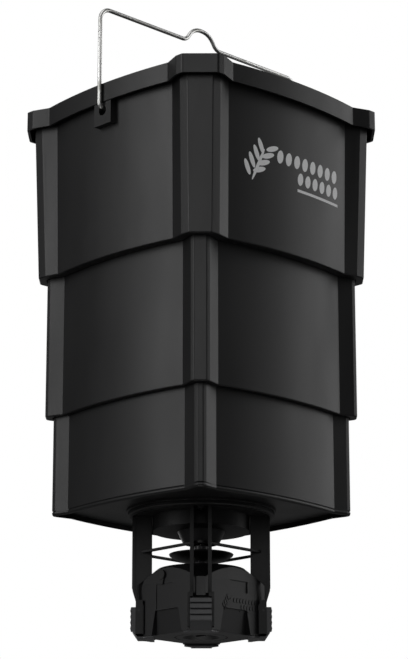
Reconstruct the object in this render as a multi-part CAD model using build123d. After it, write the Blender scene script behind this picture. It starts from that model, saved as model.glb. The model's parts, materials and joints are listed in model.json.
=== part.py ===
from build123d import *
import math
import os
from dataclasses import dataclass

# Hanging game feeder: a nesting three-section hopper under a wire bail, with a motor-driven
# spinner unit below its floor.  Lengths are in mm and +Z is up.  Every level below is a height
# above the top of the unit, the underside of the hopper's floor, and the whole feeder is moved
# down by HANG_HEIGHT at the end, so that the origin is the point where a hook bears on the bail.

ROOT2 = math.sqrt(2)
OVERCUT = 1.0          # how far a cut runs past the face that it opens

# ---------------------------------------------------------------- hopper outline


@dataclass
class Outline:
    """Plan of a hopper section: four bowed panels between four stepped corner posts."""

    panel: float       # axis to the middle of a bowed panel
    bow: float         # how far a panel's ends fall back from its middle
    post: float        # how far a post stands out from the ends of its panels
    flat: float        # width of a post's 45 degree flat
    strip: float       # width of the post's narrow face beside the flat
    jog: float         # run of the slope between a panel and that face
    edge: float        # rounding of the upright edges

    def face(self):
        """Axis to a post's narrow face."""
        return self.panel - self.bow + self.post

    def reach(self):
        """Axis to a post's 45 degree flat."""
        return self.face() * ROOT2 - self.flat / 2


BASE_PANEL = 126.5     # axis to a panel of the bottom section
MIDDLE_STEP = 8.0      # each wider section's panel beyond the one before
TOP_STEP = 12.5
TOP_FLARE = 3.5        # how far the top section widens up to its mouth
RIM_STEP = 9.0         # rim band beyond the mouth

BOTTOM = Outline(BASE_PANEL, 8.5, 3.48, 6.0, 5.0, 18.24, 2.4)
MIDDLE = Outline(BOTTOM.panel + MIDDLE_STEP, 9.5, 5.96, 14.0, 5.0, 18.06, 2.4)
TOP_LOW = Outline(MIDDLE.panel + TOP_STEP, 9.0, 3.99, 25.0, 12.0, 17.31, 2.4)
TOP_HIGH = Outline(TOP_LOW.panel + TOP_FLARE, 9.0, 7.35, 29.0, 12.0, 19.34, 2.4)
RIM = Outline(TOP_HIGH.panel + RIM_STEP, 8.5, 7.75, 40.0, 10.0, 20.47, 5.0)

# ---------------------------------------------------------------- hopper sizes

WALL = 3.0
NEST_GAP = 1.5         # between one section and the lip of the next
LEDGE = 4.0            # inward lip that holds the section below
FLANGE = 4.0           # outward flange that rests on that lip
BASE_LIP = 6.0         # the bottom section's wall below the floor
FLOOR = 3.0
BOTTOM_TALL = 107.5    # floor to the lower edge of the middle section
MIDDLE_TALL = 163.5    # middle section's lower edge to the top section's
TOP_TALL = 202.0       # top section's lower edge to the rim
RIM_DROP = 22.0        # height of the band round the mouth
RIM_SKIN = 3.0
EDGE_BREAK = 1.6       # rounding of the upper sections' lower outer edges
BASE_BREAK = 2.6       # rounding of the bottom section's lower outer edge
DRAIN_HOLE_R = 2.5
DRAIN_INSET = 20.8     # drain hole from the corner's flat

BOTTOM_TOP = BOTTOM_TALL
MIDDLE_TOP = BOTTOM_TOP + MIDDLE_TALL
RIM_TOP = MIDDLE_TOP + TOP_TALL
DRAIN_HOLE_REACH = BOTTOM.reach() - DRAIN_INSET

# bail and its ears
WIRE_R = 2.38
ARM_GAP = 1.0          # between the rim band and an arm
BAIL_RISE = 93.0       # bail's level run above the rim
BAIL_BEND = 15.0
PIN_BEND = 4.0
PIN_LONG = 11.0        # bail's turned-in pins, inwards from the foot of the panel
HUMP_RISE = 18.0
HUMP_FOOT = 25.0
HUMP_TOP = 13.0
HUMP_BEND = 22.0       # bends at the hump's top
HUMP_FOOT_BEND = 12.0
EYE_R = 6.0            # hole in each ear
EAR_WIDTH = 27.5
EAR_DROP = 27.0        # ear below the rim band
EAR_INSET = 1.5        # ear's face behind the band's
EYE_BELOW_BAND = 9.8
PIN_CLEARANCE = 0.05
RETAINER_R = 9.5
RETAINER_THICK = 1.6
RETAINER_GAP = 0.8

BAIL_HALF = RIM.panel + ARM_GAP + WIRE_R
BAIL_RUN = RIM_TOP + BAIL_RISE
BAIL_PIN_IN = TOP_LOW.panel - PIN_LONG
EAR_FACE = RIM.panel - EAR_INSET

# lid
LID_INSET = 8.0
LID_FLANGE = 2.2
LID_SKIRT = 12.0
LID_SKIRT_WALL = 2.0
LID_GAP = 1.5
LID_SHEET = 2.0
LID_CROWN = 9.0
LID_CROWN_EDGE = 6.0
LID_CROWN_SHARE = 0.62     # size of the crown's flat top
LID_GRIP = (64.0, 18.0, 16.0)
SEAL_LOW = 7.0         # foam strip round the skirt, below the rim
SEAL_HIGH = 2.5
SEAL_GAP = 0.5

# ---------------------------------------------------------------- control unit sizes

CASE_HALF = 53.7
CASE_CUT = 4.94        # how far each upright corner is cut back
CASE_WALL = 2.4
CASE_TALL = 57.5       # lower case
ROOF_PEAK = -64.5      # level of the roof's crown
ROOF_PEAK_R = 10.0
ROOF_SHALLOW = 3.5     # fall of the crown's gentle cone
ROOF_STEEP = 18.0      # fall of the steep cone below it
ROOF_SLOPE = 40.0      # degrees below level
CASE_CLEARANCE = 0.2
POCKET_DEEP = 6.6      # corner pockets for the latches
POCKET_TALL = 36.5
POCKET_SPARE = 0.55
GRIP_TALL = 26.5       # sloping finger recess low in each side
GRIP_HALF_TOP = 18.3
GRIP_HALF_LOW = 24.0
GRIP_DEEP_TOP = 2.0
GRIP_DEEP_LOW = 6.0
STEP_AT = 10.0
STEP_DEEP = 1.1
STEP_DROP = 10.0       # step's foot below the joint of roof and case

CASE_REACH = CASE_HALF * ROOT2 - CASE_CUT      # axis to the flat on each upright corner
ROOF_EDGE = ROOF_PEAK - ROOF_SHALLOW
CASE_JOIN = ROOF_EDGE - ROOF_STEEP             # where the roof meets the lower case
CASE_LOW = CASE_JOIN - CASE_TALL
CASE_IN = CASE_HALF - CASE_WALL
POCKET_REACH = CASE_REACH - POCKET_DEEP
POCKET_TOP = CASE_LOW + POCKET_TALL
CORE_REACH = POCKET_REACH - CASE_WALL          # axis to the corners of the space inside
GRIP_TOP = CASE_LOW + GRIP_TALL
STEP_LOW = CASE_JOIN - STEP_DROP
# shallow recesses: left, right, low, high and depth
CHANNEL = (-16.8, 8.8, CASE_JOIN - 30.0, CASE_JOIN - 2.0, 0.9)
WINDOW = (-8.0, 19.5, CASE_JOIN - 12.0, CASE_JOIN + 1.0, 1.4)

MOTOR_R = 14.0
MOTOR_TALL = 30.0
MOTOR_EDGE = 1.2
MOTOR_DROP = 6.1       # motor's face below the roof's crown
MOTOR_NOSE_R = 5.0
MOTOR_NOSE = 1.4
MOTOR_BOSS_R = 16.0
MOTOR_FIT = 0.15
MOTOR_SCREW_AT = 9.0
MOTOR_SCREW_R = 1.3
MOTOR_SCREW_HEAD_R = 2.5
MOTOR_SCREW_HEAD = 1.6
MOTOR_SCREW_DEEP = 5.0
SHAFT_R = 2.4
SHAFT_GAP = 0.06
SHAFT_DEEP = 12.0
SHAFT_RISE = 26.0      # shaft's end above the roof's crown
SEAL_RING_TALL = 2.5

MOTOR_TOP = ROOF_PEAK - MOTOR_DROP
MOTOR_LOW = MOTOR_TOP - MOTOR_TALL
SHAFT_TOP = ROOF_PEAK + SHAFT_RISE

DISH_R = 36.4
DISH_TALL = 7.8
DISH_RISE = 14.5       # dish's rim above the roof's crown
DISH_SKIN = 1.6
DISH_FLAT_R = 15.0
DISH_TURN_R = 28.0
DISH_TURN_RISE = 2.2
HUB_R = 7.6
HUB_FOOT_R = 6.0
HUB_DROP = 5.6         # hub's foot below the dish
HUB_BELOW_SHAFT = 1.5
HUB_EDGE = 1.0
VANES = 4
VANE_THICK = 1.6
VANE_END = 31.0
VANE_RISE = 3.0        # vanes' inner ends above the dish's rim
SET_SCREW_R = 1.5
SET_SCREW_DROP = 3.5
SET_SCREW_PROUD = 1.0

DISH_RIM = ROOF_PEAK + DISH_RISE
DISH_LOW = DISH_RIM - DISH_TALL
DISH_TURN = DISH_LOW + DISH_TURN_RISE
HUB_LOW = DISH_LOW - HUB_DROP
HUB_TOP = SHAFT_TOP - HUB_BELOW_SHAFT
VANE_TOP = DISH_RIM + VANE_RISE
SET_SCREW_Z = HUB_TOP - SET_SCREW_DROP
SET_SCREW_OUT = HUB_R + SET_SCREW_PROUD

# ---------------------------------------------------------------- feed and leg sizes

LEG_STAND = 6.4        # leg's outer edge beyond the unit's corners
RING_MARGIN = 7.1      # upper flange beyond the legs
RING_THICK = 3.0
RING_INSET = 1.5       # lower flange inside the upper one
RING_GAP = 0.2
LEG_RING_THICK = 4.4
BEAD = 1.0             # ridges under the lower flange
BEAD_INSETS = (8.0, 4.0)
BEAD_WIDE = 1.4
FLOOR_HOLE_R = 53.0
MOUTH_INSET = 1.5      # funnel's mouth inside the floor's hole
SHROUD_STAND = 1.8     # shroud beyond the floor's hole
SHROUD_WALL = 2.2
SHROUD_LOW = -24.2
FUNNEL_LIP_R = 27.0
FUNNEL_LIP_TALL = 3.0
FUNNEL_WALL = 1.8
FUNNEL_GAP = 0.4
SPOUT_R = 20.2
SPOUT_ABOVE_HUB = 2.0

LEG_OUT = CASE_REACH + LEG_STAND
RING_R = LEG_OUT + RING_MARGIN         # upper flange, against the hopper's floor
LEG_RING_R = RING_R - RING_INSET       # lower flange, which carries the legs
BEAD_RADII = [LEG_RING_R - inset for inset in BEAD_INSETS]
FUNNEL_MOUTH_R = FLOOR_HOLE_R - MOUTH_INSET
SHROUD_R = FLOOR_HOLE_R + SHROUD_STAND
SPOUT_LOW = HUB_TOP + SPOUT_ABOVE_HUB
LEG_RING_TOP = -RING_THICK - RING_GAP
LEG_RING_LOW = LEG_RING_TOP - LEG_RING_THICK

SCREW_INSET = 15.0     # flange screws inside the flange's edge
SCREW_R = 2.0
SCREW_HEAD_R = 4.0
SCREW_HEAD = 2.4
BOSS_R = 6.0
BOSS_DROP = 3.2
NUT_R = 4.0
NUT_THICK = 3.2
SCREW_SPARE = 2.0

SCREW_CIRCLE_R = RING_R - SCREW_INSET
BOSS_LOW = LEG_RING_LOW - BOSS_DROP

SHOULDER_DEEP = 5.0
LEG_CLEAR = 0.8        # leg outside the shroud, and rail outside its pocket
LEG_LIP_IN = 7.8       # half the gap between the lips of a leg's two fins
LEG_LIP = 4.2
LEG_LIP_DEEP = 3.2
FIN_IN = 8.7
FIN = 2.5
FOOT_STAND = 2.0       # fin's foot beyond the unit's corners
FIN_TAPER = 14.5
FIN_FOOT_RISE = 3.0
SHOULDER_RISE = 3.5
RAIL_THICK = 2.4
RAIL_FOOT_RISE = 2.5
GUARD_INSET = 1.1      # guard's corners inside the legs' outer edges
GUARD_ROUND = 5.0
GUARD_BAR = 4.0
GUARD_THICK = 2.8
GUARD_ABOVE_DISH = 3.0
GUARD_GAP = 0.15

LEG_IN = SHROUD_R + LEG_CLEAR
FIN_FOOT = CASE_REACH + FOOT_STAND
FIN_LOW = POCKET_TOP + FIN_FOOT_RISE
FIN_TAPER_TOP = FIN_LOW + FIN_TAPER
SHOULDER_TOP = POCKET_TOP + SHOULDER_RISE
SHOULDER_LOW = SHOULDER_TOP - SHOULDER_DEEP
RAIL_LOW = CASE_LOW + RAIL_FOOT_RISE
RAIL_IN = POCKET_REACH + LEG_CLEAR
GUARD_HALF = (LEG_OUT - GUARD_INSET + GUARD_ROUND * (ROOT2 - 1)) / ROOT2
GUARD_TOP = DISH_RIM + GUARD_ABOVE_DISH

# ---------------------------------------------------------------- cover and what lies in the unit

COVER_THICK = 2.6
COVER_GAP = 0.4
COVER_DISH_R = 21.0
COVER_DISH_TOP_R = 15.0
COVER_DISH_DEEP = 6.0
COVER_RING_R = 29.5
COVER_RING_WIDE = 1.2
COVER_RING_DEEP = 0.5
SHELF_THICK = 2.4
SHELF_WIDE = 3.0
KNOB_R = 8.0
KNOB_THICK = 3.2
KNOB_BAR = (13.0, 3.0, 1.6)
STEM_R = 3.0
STEM_GAP = 0.06
TONGUE = (19.0, 5.0, 1.6)
SLOT_GAP = 0.9         # tongue in the tray's slot, each side
TRAY_GAP = 0.4
TRAY_THICK = 1.5
TRAY_FAR_GAP = 6.3
TRAY_NEAR = 2.0        # tray's near edge beyond the battery
PAD_THICK = 2.5
PAD_HOLE_R = 12.0

COVER_DISH_TOP = CASE_LOW + COVER_DISH_DEEP
TRAY_LOW = COVER_DISH_TOP + COVER_THICK + TRAY_GAP
TRAY_TOP = TRAY_LOW + TRAY_THICK
BATTERY_LOW = TRAY_TOP + PAD_THICK

BATTERY_SPARE = 9.3    # battery and board inside the case's walls
BATTERY_HEADROOM = 1.4
BATTERY_ROUND = 3.0
TERMINAL = (6.4, 8.0, 0.8)
TERMINAL_INSET = 12.0
BOARD_WIDE = 22.0
BOARD_THICK = 1.6
BOARD_FROM_WALL = 17.5
BOARD_TO_BATTERY = 15.8
BOARD_ABOVE_FASCIA = 11.4
DISPLAY_WIDE = 14.0
DISPLAY_THICK = 3.0
DISPLAY_SPARE = 8.0    # board's half length beyond the display's length
DISPLAY_INSET = 5.0
WINDOW_EDGE = 2.0
FASCIA_WIDE = 22.6
FASCIA_THICK = 2.0
FASCIA_MARGIN = 2.0
FASCIA_RISE = 12.5
FASCIA_POST_R = 2.6
BUTTON_R = 3.2
BUTTON_FLANGE_R = 4.3
BUTTON_FLANGE = 1.4
BUTTON_PROUD = 1.6
BUTTON_TALL = 7.0
BUTTON_FIT = 0.1
BUTTON_INSET = 11.0    # last button from the board's end
BUTTON_PITCH = 10.5
LEAD_R = 1.1
LEAD_APART = 4.0
LEAD_GAP = 0.02
LEAD_OUT = 6.0         # first straight of a motor lead
LEAD_RISE = 8.0        # motor leads above the motor's foot
LEAD_ON_BOARD = 8.8    # where the motor leads meet the board, from its middle
LEAD_REACH = 9.0       # battery leads' run out from their tabs

BOARD_HALF = CASE_IN - BATTERY_SPARE
BOARD_Y = BOARD_FROM_WALL - CASE_IN
BATTERY_NEAR = BOARD_Y + BOARD_TO_BATTERY
BATTERY_FAR = CASE_IN - BATTERY_SPARE
BATTERY_Y = (BATTERY_NEAR + BATTERY_FAR) / 2
BATTERY_TOP = MOTOR_LOW - BATTERY_HEADROOM
BATTERY = (2 * BOARD_HALF, BATTERY_FAR - BATTERY_NEAR, BATTERY_TOP - BATTERY_LOW)
TERMINAL_X = (TERMINAL_INSET - BOARD_HALF, BOARD_HALF - TERMINAL_INSET)
FASCIA_LOW = CASE_LOW + FASCIA_RISE
FASCIA_TOP = FASCIA_LOW + FASCIA_THICK
FASCIA_POST_X = BOARD_HALF - FASCIA_MARGIN
BOARD_LOW = FASCIA_LOW + BOARD_ABOVE_FASCIA
BOARD_TOP = BOARD_LOW + BOARD_THICK
DISPLAY_LONG = BOARD_HALF - DISPLAY_SPARE
DISPLAY_X = DISPLAY_INSET - BOARD_HALF + DISPLAY_LONG / 2
BUTTON_NAMES = ("test_button", "set_button", "mode_button")
BUTTONS = {name: BOARD_HALF - BUTTON_INSET - BUTTON_PITCH * i for i, name in enumerate(BUTTON_NAMES)}

JACK_X = -7.4
JACK_RISE = 8.0        # jack above the joint of roof and case
JACK_R = 2.8
JACK_BODY_R = 5.0
JACK_LONG = 13.0
CAP_R = 5.4
CAP_THICK = 2.2
CAP_STEM_GAP = 0.5
CAP_STEM = 2.5
CAP_TAIL_WIDE = 4.2
CAP_TAIL_THICK = 1.3
CAP_TAIL_DROP = 10.6
CAP_NECK = (0.7, 0.6)  # where the tail leaves the disc, in its radii
CAP_GAP = 0.1

JACK_Z = CASE_JOIN + JACK_RISE

# ---------------------------------------------------------------- latch sizes

LATCH_HALF = 11.9
LATCH_BACK_STAND = 1.8     # latch's back, face, teeth and foot beyond the unit's corners
LATCH_FACE_STAND = 6.0
LATCH_TIP_STAND = 8.2
LATCH_FOOT_INSET = 2.0
LATCH_TOP_DROP = 4.0       # latch's top below its pocket's
LATCH_LOW_RISE = 6.5       # last tooth above the case's foot
LATCH_BASE_DROP = 2.4
PAD_INSETS = (18.5, 14.8, 9.0)     # inner end, end of the wide part and end of its slope
PAD_DEEP = 2.1
PAD_NARROWER = 2.2
PAD_WIDER = 7.6
PAD_STEP = 1.6
TEETH = 4
TOOTH_GROOVE = 1.0
TOOTH_EDGE = 0.7           # where each tooth's slopes meet, down its height
TOOTH_FOOT = 0.85
PIN_R = 1.3
PIN_INSET = 1.6
PIN_DROP = 8.0
PIN_FIT = 0.06
RAIL_GAP = 0.35
LUG_R = 3.2

LATCH_BACK = CASE_REACH + LATCH_BACK_STAND
LATCH_FACE = CASE_REACH + LATCH_FACE_STAND
LATCH_TIP = CASE_REACH + LATCH_TIP_STAND
LATCH_FOOT_X = CASE_REACH - LATCH_FOOT_INSET
LATCH_TOP = POCKET_TOP - LATCH_TOP_DROP
LATCH_LOW = CASE_LOW + LATCH_LOW_RISE
LATCH_BASE = CASE_LOW - LATCH_BASE_DROP
PAD_REACHES = [CASE_REACH - inset for inset in PAD_INSETS]
PAD_HALF = LATCH_HALF - PAD_NARROWER
PAD_HALF_WIDE = LATCH_HALF + PAD_WIDER
PIN_X = CASE_REACH - PIN_INSET
PIN_Z = POCKET_TOP - PIN_DROP
RAIL_NEAR = LATCH_HALF + RAIL_GAP
RAIL_FAR = RAIL_NEAR + RAIL_THICK
POCKET_HALF = RAIL_FAR + POCKET_SPARE
LATCH_NAMES = ("back_right_latch", "back_left_latch", "front_left_latch", "front_right_latch")

PIVOT_Z = RIM_TOP - RIM_DROP - EYE_BELOW_BAND + EYE_R - WIRE_R - PIN_CLEARANCE
HANG_HEIGHT = BAIL_RUN + HUMP_RISE - WIRE_R


def save(name, shape):
    """Moves a piece from the floor's levels to the hanging point and writes it."""
    placed = Pos(0, 0, -HANG_HEIGHT) * shape
    placed.label = name
    export_step(placed, "parts/" + name + ".step")


def box_between(low, high):
    """A box from its lowest to its highest corner."""
    size = [b - a for a, b in zip(low, high)]
    middle = [(a + b) / 2 for a, b in zip(low, high)]
    return Pos(*middle) * Box(*size)


def drum(radius, low, high):
    """A cylinder about Z between two levels."""
    return Pos(0, 0, (low + high) / 2) * Cylinder(radius, high - low)


def turned(points):
    """A solid turned about Z from (radius, level) points."""
    return revolve(make_face(Plane.XZ * Polyline(*points, close=True)), Axis.Z)


def plate_between(points, low, high):
    """A flat-sided solid from (x, z) points, between two y values."""
    face = make_face(Plane.XZ * Polyline(*points, close=True))
    return Pos(0, low, 0) * extrude(face, high - low, dir=(0, 1, 0))


def at_corner(index, shape):
    """Turns a shape built along +X to one of the four corner diagonals."""
    return Rot(0, 0, 45 + 90 * index) * shape


def at_corners(shape):
    """The same shape at all four corners."""
    return [at_corner(i, shape) for i in range(4)]


def blend_size(low, high, share):
    """An outline part of the way from one to another."""
    values = zip(vars(low).values(), vars(high).values())
    return Outline(*[a + (b - a) * share for a, b in values])


def outline(size, grow=0.0):
    """The plan of a hopper section as a face, grown or shrunk evenly."""
    middle = size.panel + grow
    end = middle - size.bow
    strip = size.face() + grow
    corner = (size.reach() + grow) * ROOT2 - strip
    half = size.face() - size.flat / ROOT2 - size.strip - size.jog
    run = corner - size.strip
    edges = []
    for quarter in range(4):
        side = [
            ThreePointArc((-half, -end), (0, -middle), (half, -end)),
            Line((half, -end), (run, -strip)),
            Line((run, -strip), (corner, -strip)),
            Line((corner, -strip), (strip, -corner)),
            Line((strip, -corner), (strip, -run)),
            Line((strip, -run), (end, -half)),
        ]
        edges += [Rot(0, 0, 90 * quarter) * edge for edge in side]
    plan = make_face(edges)
    return fillet(plan.vertices(), size.edge)


def prism(size, low, high, grow=0.0):
    """An upright solid on a section's plan."""
    return Pos(0, 0, low) * extrude(outline(size, grow), high - low)


def tapered(low_size, high_size, low, high, grow=0.0):
    """A solid that tapers from one plan to another."""
    faces = [Pos(0, 0, low) * outline(low_size, grow), Pos(0, 0, high) * outline(high_size, grow)]
    return loft(faces, ruled=True)


def bottom_edges(shape, level):
    """Outer edges of a section at one level."""
    found = shape.edges().filter_by_position(Axis.Z, level - 0.01, level + 0.01)
    return found


# ---------------------------------------------------------------- hopper


def make_top_section():
    ledge_top = MIDDLE_TOP + LEDGE
    band_low = RIM_TOP - RIM_DROP
    body = tapered(TOP_LOW, TOP_HIGH, MIDDLE_TOP, RIM_TOP)
    body = fillet(bottom_edges(body, MIDDLE_TOP), EDGE_BREAK)
    band = prism(RIM, band_low, RIM_TOP)
    channel = prism(RIM, band_low - OVERCUT, RIM_TOP - RIM_SKIN, -RIM_SKIN)
    body = body + (band - channel)
    ear_low = band_low - EAR_DROP
    for side in (-1, 1):
        near, far = sorted((side * (TOP_LOW.panel - WALL), side * EAR_FACE))
        ear = box_between((-EAR_WIDTH / 2, near, ear_low), (EAR_WIDTH / 2, far, RIM_TOP - RIM_SKIN / 2))
        body = body + ear
    share = LEDGE / (RIM_TOP - MIDDLE_TOP)
    inside_low = blend_size(TOP_LOW, TOP_HIGH, share)
    hollow = tapered(inside_low, TOP_HIGH, ledge_top, RIM_TOP, -WALL)
    mouth = prism(TOP_HIGH, RIM_TOP - OVERCUT / 4, RIM_TOP + OVERCUT, -WALL)
    opening = prism(MIDDLE, MIDDLE_TOP - OVERCUT, ledge_top + OVERCUT, NEST_GAP)
    eye_z = band_low - EYE_BELOW_BAND
    eyes = Pos(0, 0, eye_z) * Rot(90, 0, 0) * Cylinder(EYE_R, 2 * EAR_FACE + 2 * OVERCUT)
    return body - hollow - mouth - opening - eyes


def make_middle_section():
    top = MIDDLE_TOP + LEDGE + FLANGE
    ledge_top = BOTTOM_TOP + LEDGE
    body = prism(MIDDLE, BOTTOM_TOP, top)
    body = fillet(bottom_edges(body, BOTTOM_TOP), EDGE_BREAK)
    flange = prism(TOP_LOW, MIDDLE_TOP + LEDGE, top, -(WALL + NEST_GAP))
    hollow = prism(MIDDLE, ledge_top, top + OVERCUT, -WALL)
    opening = prism(BOTTOM, BOTTOM_TOP - OVERCUT, ledge_top + OVERCUT, NEST_GAP)
    return body + flange - hollow - opening


def make_bottom_section():
    top = BOTTOM_TOP + LEDGE + FLANGE
    body = prism(BOTTOM, -BASE_LIP, top)
    body = fillet(bottom_edges(body, -BASE_LIP), BASE_BREAK)
    flange = prism(MIDDLE, BOTTOM_TOP + LEDGE, top, -(WALL + NEST_GAP))
    hollow = prism(BOTTOM, FLOOR, top + OVERCUT, -WALL)
    recess = prism(BOTTOM, -BASE_LIP - OVERCUT, 0, -WALL)
    outlet = drum(FLOOR_HOLE_R, -OVERCUT, FLOOR + OVERCUT)
    body = body + flange - hollow - recess - outlet
    for index in range(4):
        drain = Pos(DRAIN_HOLE_REACH, 0, 0) * drum(DRAIN_HOLE_R, -OVERCUT, FLOOR + OVERCUT)
        body = body - at_corner(index, drain)
    return body - screw_holes(-OVERCUT, FLOOR + OVERCUT)


def make_lid():
    flange_top = RIM_TOP + LID_FLANGE
    skirt_out = -(WALL + LID_GAP)
    skirt_in = skirt_out - LID_SKIRT_WALL
    flange = prism(RIM, RIM_TOP, flange_top, -LID_INSET)
    skirt = prism(TOP_HIGH, RIM_TOP - LID_SKIRT, RIM_TOP, skirt_out)
    crown_low = outline(RIM, -LID_INSET - LID_CROWN_EDGE)
    crown_high = scale(crown_low, LID_CROWN_SHARE)
    crown_top = flange_top + LID_CROWN
    crown = loft([Pos(0, 0, flange_top) * crown_low, Pos(0, 0, crown_top) * crown_high], ruled=True)
    under_low = outline(TOP_HIGH, skirt_in)
    under_high = scale(under_low, LID_CROWN_SHARE)
    under_top = crown_top - LID_SHEET
    under = prism(TOP_HIGH, RIM_TOP - LID_SKIRT - OVERCUT, RIM_TOP, skirt_in)
    hollow = loft([Pos(0, 0, RIM_TOP) * under_low, Pos(0, 0, under_top) * under_high], ruled=True)
    long, wide, tall = LID_GRIP
    grip = Pos(0, 0, crown_top) * extrude(SlotOverall(long, wide), tall)
    grip = fillet(grip.edges().group_by(Axis.Z)[-1], wide / 4)
    return flange + skirt + crown - under - hollow + grip


def make_lid_seal():
    outer = prism(TOP_HIGH, RIM_TOP - SEAL_LOW, RIM_TOP - SEAL_HIGH, -(WALL + SEAL_GAP))
    inner = prism(TOP_HIGH, RIM_TOP - SEAL_LOW, RIM_TOP - SEAL_HIGH, -(WALL + LID_GAP))
    return outer - inner


# ---------------------------------------------------------------- bail


def make_bail():
    crest = BAIL_RUN + HUMP_RISE
    half = [
        (BAIL_PIN_IN, PIVOT_Z),
        (BAIL_HALF, PIVOT_Z),
        (BAIL_HALF, BAIL_RUN),
        (HUMP_FOOT, BAIL_RUN),
        (HUMP_TOP, crest),
    ]
    points = [(0, -y, z) for y, z in half] + [(0, y, z) for y, z in reversed(half)]
    bends = [PIN_BEND, BAIL_BEND, HUMP_FOOT_BEND, HUMP_BEND]
    path = FilletPolyline(*points, radius=bends + bends[::-1])
    start = Plane(origin=points[0], z_dir=(0, -1, 0))
    return sweep(start * Circle(WIRE_R), path=path)


def make_bail_retainers():
    inside = blend_size(TOP_LOW, TOP_HIGH, (PIVOT_Z - MIDDLE_TOP) / (RIM_TOP - MIDDLE_TOP)).panel - WALL
    out = inside - RETAINER_GAP
    washers = []
    for side in (-1, 1):
        washer = Rot(90, 0, 0) * (Cylinder(RETAINER_R, RETAINER_THICK) - Cylinder(WIRE_R, 2 * RETAINER_THICK))
        washers.append(Pos(0, side * (out - RETAINER_THICK / 2), PIVOT_Z) * washer)
    return Compound(washers)


# ---------------------------------------------------------------- feed parts and legs


def screw_holes(low, high):
    """Four screw holes on the corner diagonals."""
    return at_corners(Pos(SCREW_CIRCLE_R, 0, 0) * drum(SCREW_R, low, high))


def make_feed_funnel():
    knee = SHROUD_LOW + FUNNEL_LIP_TALL
    skin = FUNNEL_WALL
    body = turned([
        (RING_R, 0),
        (RING_R, -RING_THICK),
        (FUNNEL_MOUTH_R, -RING_THICK),
        (FUNNEL_LIP_R, knee),
        (FUNNEL_LIP_R, SHROUD_LOW),
        (SPOUT_R, SPOUT_LOW),
        (SPOUT_R - skin, SPOUT_LOW),
        (FUNNEL_LIP_R - skin, SHROUD_LOW),
        (FUNNEL_LIP_R - skin, knee + skin / 2),
        (FUNNEL_MOUTH_R - skin, 0),
    ])
    return body - screw_holes(-RING_THICK - OVERCUT, OVERCUT)


def guard_plate(grow, low, high):
    """The guard's square outline as a plate, grown evenly."""
    side = 2 * (GUARD_HALF + grow)
    return Pos(0, 0, low) * extrude(RectangleRounded(side, side, GUARD_ROUND + grow), high - low)


def guard_band(grow):
    """The guard ring, grown evenly."""
    low = GUARD_TOP - GUARD_THICK - grow
    high = GUARD_TOP + grow
    return guard_plate(grow, low, high) - guard_plate(-GUARD_BAR - grow, low - OVERCUT, high + OVERCUT)


def make_leg():
    """One leg along +X: two fins with lips, a shoulder and the rails beside a latch."""
    top = LEG_RING_LOW + LEG_RING_THICK / 2
    fin_line = [(LEG_IN, top), (LEG_OUT, top), (LEG_OUT, FIN_TAPER_TOP)]
    fin_line += [(FIN_FOOT, FIN_LOW), (FIN_FOOT, SHOULDER_LOW), (LEG_IN, SHOULDER_LOW)]
    lip_in = LEG_OUT - LEG_LIP_DEEP
    foot_in = FIN_FOOT - LEG_LIP_DEEP
    lip_line = [(lip_in, top), (LEG_OUT, top), (LEG_OUT, FIN_TAPER_TOP), (FIN_FOOT, FIN_LOW)]
    lip_line += [(foot_in, FIN_LOW), (lip_in, FIN_TAPER_TOP)]
    wide = 2 * CASE_REACH
    behind = box_between((0, -wide, CASE_LOW - wide), (CASE_REACH + CASE_CLEARANCE, wide, 0))
    unit_room = roof_cone(CASE_CLEARANCE) & behind
    leg = None
    for side in (-1, 1):
        fin = plate_between(fin_line, *sorted((side * FIN_IN, side * (FIN_IN + FIN))))
        lip = plate_between(lip_line, *sorted((side * LEG_LIP_IN, side * (LEG_LIP_IN + LEG_LIP))))
        near, far = sorted((side * FIN_IN, side * RAIL_FAR))
        shoulder = box_between((RAIL_IN, near, SHOULDER_LOW), (FIN_FOOT, far, SHOULDER_TOP))
        near, far = sorted((side * RAIL_NEAR, side * RAIL_FAR))
        rail = box_between((RAIL_IN, near, RAIL_LOW), (FIN_FOOT, far, SHOULDER_TOP))
        pair = (fin + lip - unit_room) + shoulder + rail
        leg = pair if leg is None else leg + pair
    pin = Pos(PIN_X, 0, PIN_Z) * Rot(90, 0, 0) * Cylinder(PIN_R, 2 * RAIL_FAR + 2 * OVERCUT)
    return leg - pin


def make_leg_frame():
    ring = turned([
        (SHROUD_R - SHROUD_WALL, LEG_RING_TOP),
        (LEG_RING_R, LEG_RING_TOP),
        (LEG_RING_R, LEG_RING_LOW + BEAD),
        (LEG_RING_R - 2 * BEAD, LEG_RING_LOW),
        (SHROUD_R, LEG_RING_LOW),
        (SHROUD_R, SHROUD_LOW),
        (FUNNEL_LIP_R + FUNNEL_GAP, SHROUD_LOW),
        (FUNNEL_LIP_R + FUNNEL_GAP, SHROUD_LOW + SHROUD_WALL),
        (SHROUD_R - SHROUD_WALL, SHROUD_LOW + SHROUD_WALL),
    ])
    for radius in BEAD_RADII:
        bead = drum(radius, LEG_RING_LOW - BEAD, LEG_RING_LOW + BEAD / 2)
        ring = ring + (bead - drum(radius - BEAD_WIDE, LEG_RING_LOW - 2 * BEAD, LEG_RING_LOW + BEAD))
    boss = Pos(SCREW_CIRCLE_R, 0, 0) * drum(BOSS_R, BOSS_LOW, LEG_RING_LOW + BEAD / 2)
    frame = ring + at_corners(boss) + at_corners(make_leg())
    frame = frame - screw_holes(BOSS_LOW - OVERCUT, OVERCUT) - guard_band(GUARD_GAP)
    return frame - case_block(CASE_CLEARANCE) - shroud_room()


def shroud_room():
    """Keeps the fins out of the space inside the shroud."""
    room = turned([
        (0, LEG_RING_TOP),
        (SHROUD_R - SHROUD_WALL, LEG_RING_TOP),
        (SHROUD_R - SHROUD_WALL, SHROUD_LOW + SHROUD_WALL),
        (0, SHROUD_LOW + SHROUD_WALL),
    ])
    return room


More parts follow.
